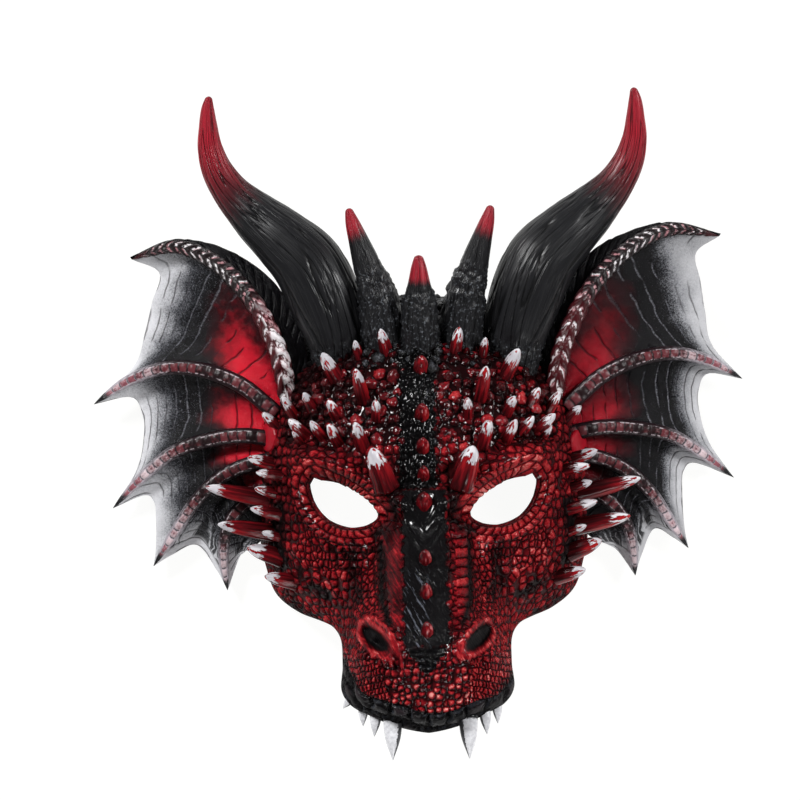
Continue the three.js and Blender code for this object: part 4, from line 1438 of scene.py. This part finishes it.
# %% The five horns
long_paint = paint("long_horn_paint", horn_paint(0.46, 0.8, 0.1), Specular_IOR_Level=0.3)
side_paint = paint("side_horn_paint", horn_paint(0.62, 0.78, 0.5), Specular_IOR_Level=0.35)
middle_paint = paint("middle_horn_paint", horn_paint(0.5, 0.62, 0.5), Specular_IOR_Level=0.35)
long_horns = []
short_horns = [limb("horn_middle", MIDDLE_HORN, 56, 70, tip=0.06)]
for word, side in SIDES:
    long_horns.append(limb("long_" + word, LONG_HORN, 110, 190, 0.85, side, (LONG_LEAN, 0, 0)))
    short_horns.append(limb("short_" + word, SIDE_HORN, 64, 90, 1.0, side, (SIDE_LEAN, 0, 0), 0.04))
for horn in long_horns:
    shape_with(horn, "horn_grooves", groove_horn, [long_paint], Depth=0.6, Rough=0.12)
for horn, material in zip(short_horns, (middle_paint, side_paint, side_paint)):
    shape_with(horn, "short_horn_grooves", groove_horn, [material], Depth=0.4, Rough=0.5)
for horn in long_horns + short_horns:
    cut(horn, root_cutter)
finish(join("long_horns", long_horns))
finish(join("short_horns", short_horns))

# %% [markdown]
# ## Ear fins
#
# Each fin is a web stretched over five ribs, like a bat's wing. The web sags between the ribs,
# its free edge is drawn in, and shallow creases run across it. Cloth simulation could make such a
# sag, but it would not meet the CAD solid. So the web is a sheet with a front and a rear, laid out
# by two numbers: along, from the root to the edge, and across, from rib to rib.

# %% Where the fins run
FIN_LINES = [
    [(52, 22, 32), (56, 48, 36), (71, 71, 38), (93, 85.5, 37), (117, 90.5, 33), (138.6, 83.8, 27)],
    [(62, 12, 32), (67, 36, 39), (78, 59, 43), (95, 77.5, 42), (116, 87, 36), (137.8, 82.6, 27)],
    [(68, 6, 30), (84, 20, 31), (102, 27.8, 29), (120, 29.6, 24.5), (137, 24.6, 19), (152.9, 15, 13)],
    [(69, -6, 28), (84, -3.6, 27), (100, -4.8, 24), (117, -9.3, 19.5), (132, -19.5, 14), (146.6, -32.6, 9)],
    [(69, -15, 26), (84, -18, 25), (97, -24.5, 22), (108, -35.5, 18), (117, -49, 13.5), (126, -63, 9)],
    [(69, -27, 23), (80, -33, 22), (89.5, -40.5, 20), (95, -51, 16), (96.6, -63, 12), (96.2, -75.2, 9)],
    [(68, -42, 20), (71, -47, 19), (74.5, -51, 18), (78, -54.5, 17), (82, -57, 15.5), (86, -58.5, 14)],
]
# share of the way across, x, y of the free edge of each bay
FIN_EDGES = [
    [(0.5, 138.3, 83.2)],
    [(0.18, 126, 75.5), (0.35, 129, 62), (0.55, 131.8, 48), (0.82, 136.5, 31.5)],
    [(0.18, 136, 18), (0.35, 131.2, 10), (0.5, 131, 1), (0.82, 135.5, -16)],
    [(0.18, 130, -26), (0.35, 125, -29.5), (0.5, 124.2, -37), (0.82, 124.6, -54)],
    [(0.18, 118.5, -58), (0.5, 107.8, -53.5), (0.82, 100, -66)],
    [(0.5, 90, -63)],
]
BAYS = len(FIN_EDGES)
EDGE_DRAWN = {"left": [1, 0.88, 0.97, 1.1, 1, 1], "right": [1, 1.12, 1.03, 0.9, 1, 1]}
FIN_TIPS = {
    "left": [(141.5, 85.2), (151.8, 18), (147, -28.6), (124.8, -61.5), (99.4, -73.9)],
    "right": [(134.6, 80.1), (154.6, 12.4), (146.8, -36.9), (128.2, -64.7), (93.4, -76.8)],
}
WEB, WEB_EDGE, WEB_SAG = 3.0, 1.6, 5.0


def fin_line(side, k, along):
    """Points along one line of the fin, from the root out."""
    tips = FIN_TIPS[side]
    last = FIN_LINES[max(1, k)][-1]
    tip = tips[max(0, k - 1)] if k - 1 < len(tips) else last
    shift = np.array([tip[0] - last[0], tip[1] - last[1], 0.0])
    return curve_through(FIN_LINES[k], along) + shift * (along**2)[:, None]


def fin_web(side, along, across):
    """Points of the web's front; along and across are arrays of the same length."""
    points = np.zeros((len(along), 3))
    bay = np.minimum(across.astype(int), BAYS - 1)
    for k, stops in enumerate(FIN_EDGES):
        here = bay == k
        share, a = across[here] - k, along[here]
        x0, y0 = FIN_LINES[k][-1][:2]
        x1, y1 = FIN_LINES[k + 1][-1][:2]
        edge = [(0, x0, y0), *stops, (1, x1, y1)]
        drawn = EDGE_DRAWN[side][k] * a**2
        dx = through(edge, share, 1) - x0 - share * (x1 - x0)
        dy = through(edge, share, 2) - y0 - share * (y1 - y0)
        sag = 0 * a if k == 0 else WEB_SAG * np.sin(np.pi * share) * np.sin(np.pi * (0.2 + 0.65 * a))
        one, two = fin_line(side, k, a), fin_line(side, k + 1, a)
        front = one + (two - one) * share[:, None]
        points[here] = front + np.stack([dx * drawn, dy * drawn, -sag], 1)
    return points


# %% The web
WEB_ROWS, BAY_COLUMNS = 84, 30
# share of the way out where each bay turns white, and where its red ends, from rib to rib
WHITE_FROM = [2, 0.86, 0.84, 0.84, 0.78, 0.72]
RED_TO = [
    [(0, -1), (1, -1)],
    [(0, 0.3), (0.15, 0.5), (0.35, 0.58), (0.7, 0.49), (0.9, 0.42), (1, 0.25)],
    [(0, 0.15), (0.3, 0.37), (0.6, 0.43), (0.85, 0.42), (1, 0.15)],
    [(0, 0.05), (0.3, 0.38), (0.6, 0.46), (0.85, 0.3), (1, 0.1)],
    [(0, 0.05), (0.4, 0.3), (1, 0.05)],
    [(0, 0.05), (0.4, 0.2), (1, 0.05)],
]


def web_piece(name, side, mirror):
    along = np.linspace(0, 1, WEB_ROWS + 1)
    across = np.linspace(0, BAYS, BAYS * BAY_COLUMNS + 1)
    wide = len(across)
    a, w = pairs(along, across)
    front = fin_web(side, a, w).reshape(-1, wide, 3)
    rear = front - np.stack([0 * along, 0 * along, WEB - (WEB - WEB_EDGE) * along], 1)[:, None]
    points = np.concatenate([front, rear[:, ::-1]], 1).reshape(-1, 3) * [mirror, 1, 1]
    c = np.arange(wide - 1)
    d = 2 * wide - 1 - c
    end = WEB_ROWS * 2 * wide
    root = np.stack([c + 1, c, d, d - 1], 1)
    edge = end + np.stack([c, c + 1, d - 1, d], 1)
    piece = solid(name, points, [between(len(along), 2 * wide), root, edge])
    along, across = pairs(along, np.concatenate([across, across[::-1]]))
    on_front = np.tile(np.repeat([1, 0], wide), WEB_ROWS + 1)
    bay = np.minimum(across.astype(int), BAYS - 1)
    share = across - bay
    white_from = np.array(WHITE_FROM)[bay] - 0.04 * np.sin(np.pi * share)
    red_to = np.choose(bay, [through(stops, share) for stops in RED_TO])
    note(piece, "fin", along, across, on_front)
    note(piece, "coat", along - white_from, red_to - along, share)
    note(piece, "spot", points)
    return piece


def creases(tree):
    """Thin creases across the web, and slanting folds on its outer flange: 0 in one, 1 elsewhere."""
    along, across, _ = numbers(tree, "fin")
    spot = read_vector(tree, "spot")
    flange = across < 1.0
    wave = along * flange.pick(12.0, 21.0) + across * flange * 2.4
    wave = wave + (spot.noise(28.0, 3.0, 0.55) - 0.5) * 1.5
    broken = spot.noise(14.0, 2.0).ease(0.42, 0.52)
    return 1 - (1 - wave.to_edge().ease(0.0, flange.pick(0.1, 0.2))) * broken


def crease_web(geometry, Depth):
    along, _, on_front = numbers(geometry.tree, "fin")
    swell = (read_vector(geometry.tree, "spot").noise(11.0, 2.0) - 0.5) * 4.0
    swell = swell * along.ease(0.15, 0.4) * along.ease(1.0, 0.8)
    return push(geometry, (creases(geometry.tree) - 1 + swell) * on_front * Depth)


# %% [markdown]
# The web is sprayed from the inside out: crimson near the face, black in the middle, white at the
# free edge, with a narrow border on one fin and a wide and grainy one on the other; its grey flecks
# are white spray and partly painted glints. In the lowest bays folds have kept the white off. The
# creases carry pale lines where the web is black and painted shade where it is pale or red, and the
# web beside the ribs is darker: painted shade. Painting it by hand would be quicker once, but two
# fins that differ a little are one rule with other numbers here. It is worked out from along and
# across, the web's own measures.

# %% Web paint
WEB_BLACK, WEB_DARK_RED, WEB_RED = (0.003, 0.0026, 0.0035), (0.025, 0.002, 0.004), (0.68, 0.012, 0.03)
# the first colour is for grey flecks: white spray, and partly painted glints on the black
SPECK_GLINT, WEB_GREY, RIB_SHADOW = (0.42, 0.42, 0.46), (0.1, 0.105, 0.125), (0.006, 0.003, 0.004)
# pale lines along the creases in the black, and painted shade in the creases elsewhere
CREASE_PALE, CREASE_SHADE = (0.4, 0.4, 0.45), (0.02, 0.012, 0.015)


def web_paint(glow, speckle_and_glint, whitest, soft):
    """How strong the red is, how many grey flecks there are (white spray, and partly painted glints),
    how white and how soft the edge is.
    """
    def build(tree):
        along, across, on_front = numbers(tree, "fin")
        edge, inside, share = numbers(tree, "coat")
        spot = read_vector(tree, "spot")
        crease = 1 - creases(tree)
        cloud = spot.noise(13.0, 3.0) - 0.5
        grain = spot.noise(0.75, 4.0, 0.8) - 0.5
        streaks = spot.noise(4.0, 3.0) - 0.5
        web = (across > 1.0) * on_front

        red = (inside + cloud * 0.2 + grain * 0.05).ease(-0.06, 0.06) * web
        # the red is darker towards the ribs, painted shade, and towards its border
        depth = inside.ease(-0.02, 0.25) * share.ease(0.08, 0.7) * share.ease(1.0, 0.88)
        depth = depth + cloud * 0.7 + grain * 0.2 + streaks * 0.6
        colour = red.tint(WEB_BLACK, (depth * glow).ease(0.0, 1.1).tint(WEB_DARK_RED, WEB_RED))
        # grey flecks on the black: white spray, and partly painted glints
        specks_and_glints = grain.ease(0.08, 0.2) * (edge + cloud * 0.9).ease(-0.5, -0.05) * web * speckle_and_glint
        colour = (specks_and_glints * (1 - red)).tint(colour, SPECK_GLINT)

        run = vector(across * 12.0 + spot.noise(9.0) * 5.0, along * 1.6)
        bare = run.noise(1.0, 2.0, 0.5).ease(0.56, 0.44) * across.ease(3.7, 4.2) * edge.ease(0.19, 0.13)
        white = (edge + (cloud * 0.2 + grain * 0.6) * soft).ease(-0.2 * soft, 0.08 * soft) * web
        white = white * (1 - bare * (0.9 + grain))
        pale = (cloud * 0.7 + grain * 0.7 + edge * 2.6 + 0.36).ease(0.0, 0.9)
        colour = white.tint(colour, pale.tint(WEB_GREY, (whitest, whitest, whitest * 1.04)))

        middle = share.math("SINE", share * np.pi)
        shadow = middle.ease(0.25, 0.0) * along.ease(0.85, 0.65) * 0.85
        colour = shadow.tint(colour, RIB_SHADOW)
        # pale lines along the creases where the web is black
        pale_crease = crease * (edge + cloud * 0.5).ease(-0.5, -0.15) * grain.ease(-0.12, 0.08) * web
        colour = (pale_crease * (1 - white) * 0.7).tint(colour, CREASE_PALE)
        # creases darker where the web is pale or red: painted shade
        colour = (crease * (white * 0.7).at_least(red) * 0.75).tint(colour, CREASE_SHADE)
        fine = (1 - crease) * 1.2 + grain * 0.8 + streaks * 1.5
        return look(colour, 0.2 + white * 0.2 + cloud * 0.1, fine, 0.0005)
    return build


web_paints = {
    "left": paint("dark_fin_paint", web_paint(0.55, 0.2, 0.62, 0.5), Specular_IOR_Level=0.14),
    "right": paint("bright_fin_paint", web_paint(1.2, 0.8, 0.78, 1.0), Specular_IOR_Level=0.17),
}

# %% [markdown]
# The ribs are broad low ridges. The top one is braided like a herring-bone, and a nearly dry brush
# of white has caught the edge of every strand. The others carry a row of square plates between two
# thin pale lines. Real strands could be swept and twisted, but they would hide the rib that the
# solid has. The tube's own measures give both patterns, for the relief and for the paint.

# %% The ribs
RIB_PITCH = 4.4
ROOT_LINKS, ROOT_PITCH = 55, 7.5  # the braid's first stretch has wider links
RIB_WIDTHS = [4.6, 3.9, 3.8, 3.6, 3.4]
RIB_DEPTHS = [0.72, 0.66, 0.66, 0.66, 0.66]
RIB_TAPER = 0.5
RIB_STATIONS = 12
BRAID_RED, BRAID_DARK, BRAID_END = (0.06, 0.006, 0.009), (0.01, 0.005, 0.006), (0.045, 0.005, 0.008)
BRAID_PINK, BRAID_WHITE = (0.42, 0.2, 0.22), (0.82, 0.78, 0.8)
RIB_DARK, RIB_PALE, RIB_LINE = (0.012, 0.004, 0.006), (0.4, 0.36, 0.4), (0.55, 0.46, 0.49)
NEAR_PLATES = (0.012, 0.004, 0.005), (0.12, 0.022, 0.028)
FAR_PLATES = (0.26, 0.08, 0.1), (0.68, 0.54, 0.57)
RIB_GROOVE, RIB_END = (0.02, 0.006, 0.008), (0.008, 0.008, 0.01)


def links(tree, braided):
    """Distance from a link's border in links, how far round from the front, and a number for each."""
    share, along, across = numbers(tree, "limb")
    aside = abs(across)
    wobble = read_vector(tree, "spoke").scaled(1.0, 1.0, 7.0).noise(0.7, 2.0) - 0.5
    beat = along / RIB_PITCH + aside * (0.55 if braided else 0.12) + wobble * (0.9 if braided else 0.3)
    if braided:
        beat = beat - along.at_most(ROOT_LINKS) * (1 / RIB_PITCH - 1 / ROOT_PITCH)
    return beat.to_edge(), aside, own_number(beat.floor(), across > 0.0 if braided else 0.0), share


def rib_relief(braided):
    def build(geometry, Depth):
        edge, aside, own, share = links(geometry.tree, braided)
        height = edge.ease(0.0, 0.35)
        if braided:
            height = height * aside.ease(-0.1, 0.35)
        else:
            height = height * aside.ease(0.75, 0.5) + aside.ease(0.55, 0.8) * 0.9
        return push(geometry, (height - 0.9 + own * 0.2) * share.ease(1.0, 0.93) * Depth)
    return build


def rib_brush(tree, size):
    return read_vector(tree, "spoke").scaled(1.0, 1.0, 20.0).noise(size, 3.0, 0.65)


def braid_paint(chunks):
    """The herring-bone of a top rib; chunks is how much white lies on its wide first links."""
    def build(tree):
        edge, aside, own, share = links(tree, True)
        across = numbers(tree, "limb")[2]
        brush = rib_brush(tree, 0.45)
        base = (share.ease(0.25, 0.5) + (brush - 0.5)).ease(0.2, 0.9).tint(BRAID_RED, BRAID_DARK)
        strand = edge.ease(0.22, 0.1) * aside.ease(0.06, 0.2) * aside.ease(1.5, 1.1) * brush.ease(0.42, 0.5)
        chunky = share.ease(0.42, 0.3) * edge.ease(0.17, 0.24) * (brush * 0.8 + own * 0.3).ease(0.46, 0.52)
        chunky = chunky * across.ease(-0.3, 0.0) * across.ease(1.5, 1.3) * chunks
        pink = (own + brush - 0.5).ease(0.35, 0.75).tint(BRAID_PINK, BRAID_WHITE)
        colour = strand.at_least(chunky).tint(base, pink)
        colour = share.ease(0.92, 0.96).tint(colour, BRAID_END)
        return look(colour, 0.2 + brush * 0.2, edge * 1.4 + brush * 0.5, 0.0008)
    return build


def plate_paint(tree):
    edge, aside, own, share = links(tree, False)
    brush = rib_brush(tree, 0.4)
    plate = edge.ease(0.06, 0.16) * (aside + (brush - 0.5) * 0.5).ease(0.66, 0.52)
    far = (share + (brush - 0.5) * 0.5).ease(0.55, 0.85)
    flesh = (own + (brush - 0.5) * 1.2).ease(0.25, 0.75)
    plates = far.tint(flesh.tint(*NEAR_PLATES), flesh.tint(*FAR_PLATES))
    colour = plate.tint(far.tint(RIB_DARK, RIB_PALE), plates)
    border = aside.ease(0.52, 0.6) * aside.ease(0.8, 0.66) * brush.ease(0.5, 0.6) * share.ease(0.0, 0.25)
    colour = (border * 0.8).tint(colour, RIB_LINE)
    colour = (edge.ease(0.1, 0.02) * aside.ease(0.62, 0.52) * 0.8).tint(colour, RIB_GROOVE)
    colour = (share + (brush - 0.5) * 0.05).ease(0.9, 0.94).tint(colour, RIB_END)
    return look(colour, 0.24 + brush * 0.25, edge * 0.8 + brush * 0.5, 0.0005)


braids = {
    "left": paint("dark_braid_paint", braid_paint(0.0), Specular_IOR_Level=0.35),
    "right": paint("pale_braid_paint", braid_paint(1.0), Specular_IOR_Level=0.35),
}
plated_rib = paint("plated_rib_paint", plate_paint, Specular_IOR_Level=0.35)

# %% The two fins
def rib_piece(side, mirror, k, width, depth):
    """Rib k of a fin, counted from the top; the top one is braided."""
    stops = np.linspace(0, 1, RIB_STATIONS)
    spine = fin_line(side, k + 1, stops)
    stations = [(*point, width * (1 - RIB_TAPER * along**2)) for point, along in zip(spine, stops)]
    rib = limb(f"rib_{side}_{k}", stations, 28, 190, depth, mirror, tip=0.22, blunt=0.8)
    material = plated_rib if k else braids[side]
    shape_with(rib, "rib_relief", rib_relief(k == 0), [material], Depth=0.5 if k else 1.0)
    cut(rib, root_cutter)
    return rib


for side, mirror in SIDES:
    web = web_piece("fin_web_" + side, side, mirror)
    shape_with(web, "web_creases", crease_web, [web_paints[side]], Depth=0.5)
    cut(web, root_cutter)
    finish(web)
    ribs = [rib_piece(side, mirror, k, *row) for k, row in enumerate(zip(RIB_WIDTHS, RIB_DEPTHS))]
    finish(join("fin_ribs_" + side, ribs))

# %% [markdown]
# ## Teeth
#
# The teeth are the only bright, smooth thing on the mask: flattened thorns, painted white, black
# where they leave the lip and with a thin black line down one side. They could be copies of the
# spikes' thorn, but the tube that made the horns also bends and flattens, so it makes them too.

# %% Teeth
# tip x, y; root x, y; radius
TEETH = [
    (17.6, -153.4, 17.2, -133, 4.5), (25.9, -142.7, 24.8, -130.5, 2.9), (31, -138.1, 30.6, -127.5, 2.6),
]
SMALL_TOOTH = (39.3, -129.8, 35, -124.5, 2.2)
TEETH_LEAN = 0.8
TOOTH_HEIGHT, TOOTH_BACK, TOOTH_BOW = 107, 0.9, 1.5
TOOTH_GREY, TOOTH_WHITE, TOOTH_BLACK = (0.62, 0.62, 0.65), (0.88, 0.88, 0.91), (0.012, 0.012, 0.014)


def tooth(name, row, side, lean):
    tip_x, tip_y, root_x, root_y, radius = row
    z = TOOTH_HEIGHT - TOOTH_BACK * (root_x - TEETH[0][2])
    stations = [
        (root_x, root_y, z, radius),
        ((root_x + tip_x) / 2, (root_y + tip_y) / 2, z + TOOTH_BOW, radius * 0.78),
        (tip_x, tip_y, z, 0.1),
    ]
    return limb(name, stations, 24, 22, 0.7, side, (lean, 0, 0))


def tooth_paint(tree):
    share, _, across = numbers(tree, "limb")
    brush = object_spot(tree).noise(0.0016, 3.0, 0.6)
    # a thin black line down one side of each tooth
    side_line = (across.math("COSINE", across + 1.15) + (brush - 0.5) * 0.4).ease(0.84, 0.87)
    root = (share + (brush - 0.5) * 0.1).ease(0.14, 0.08)
    ivory = (brush + share * 0.2).ease(0.3, 0.8).tint(TOOTH_GREY, TOOTH_WHITE)
    return look((side_line * 0.9).at_least(root).tint(ivory, TOOTH_BLACK), 0.16 + brush * 0.12, brush, 0.00006)


teeth = [tooth("tooth_small", SMALL_TOOTH, -1, 0)]
for side in (1, -1):
    teeth += [tooth(f"tooth_{side}_{k}", row, side, TEETH_LEAN) for k, row in enumerate(TEETH)]
finish(join("teeth", teeth), paint("tooth_paint", tooth_paint, Specular_IOR_Level=0.2))
bpy.data.objects.remove(root_cutter)

# %% [markdown]
# ## Rivets and floor
#
# The strap's rivets are smooth red discs. Their CAD solids have the right shape, so they stay and
# only get a better finish. The floor is a light table, matt and nearly white: it glows a little, so
# that no shadow on it turns dark and the eye holes stay bright. More lamps could do that too, but
# they would light the mask as well.

# %% Rivets and floor
RIVET_DARK, RIVET_RED = (0.34, 0.003, 0.012), (0.42, 0.005, 0.018)
TABLE_GREYS = (0.1, 0.1, 0.098), (0.12, 0.12, 0.118)
TABLE_GLOWS = (0.98, 0.98, 0.97), (1, 1, 0.99)


def rivet_paint(tree):
    spot = object_spot(tree)
    cloud = spot.noise(0.006, 3.0)
    colour = cloud.ease(0.3, 0.7).tint(RIVET_DARK, RIVET_RED)
    return look(colour, 0.34 + cloud * 0.12, spot.noise(0.0009), 0.00005)


def floor_paint(tree):
    cloud = object_spot(tree).noise(0.5)
    return {"Base Color": cloud.tint(*TABLE_GREYS), "Emission Color": cloud.tint(*TABLE_GLOWS)}


rivet_material = paint("rivet_red", rivet_paint, Specular_IOR_Level=0.3)
for name in ("strap_rivet_left", "strap_rivet_right"):
    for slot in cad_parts[name].material_slots:
        slot.material = rivet_material
floor.data.materials.append(paint("table", floor_paint, Roughness=0.9, Emission_Strength=0.95))
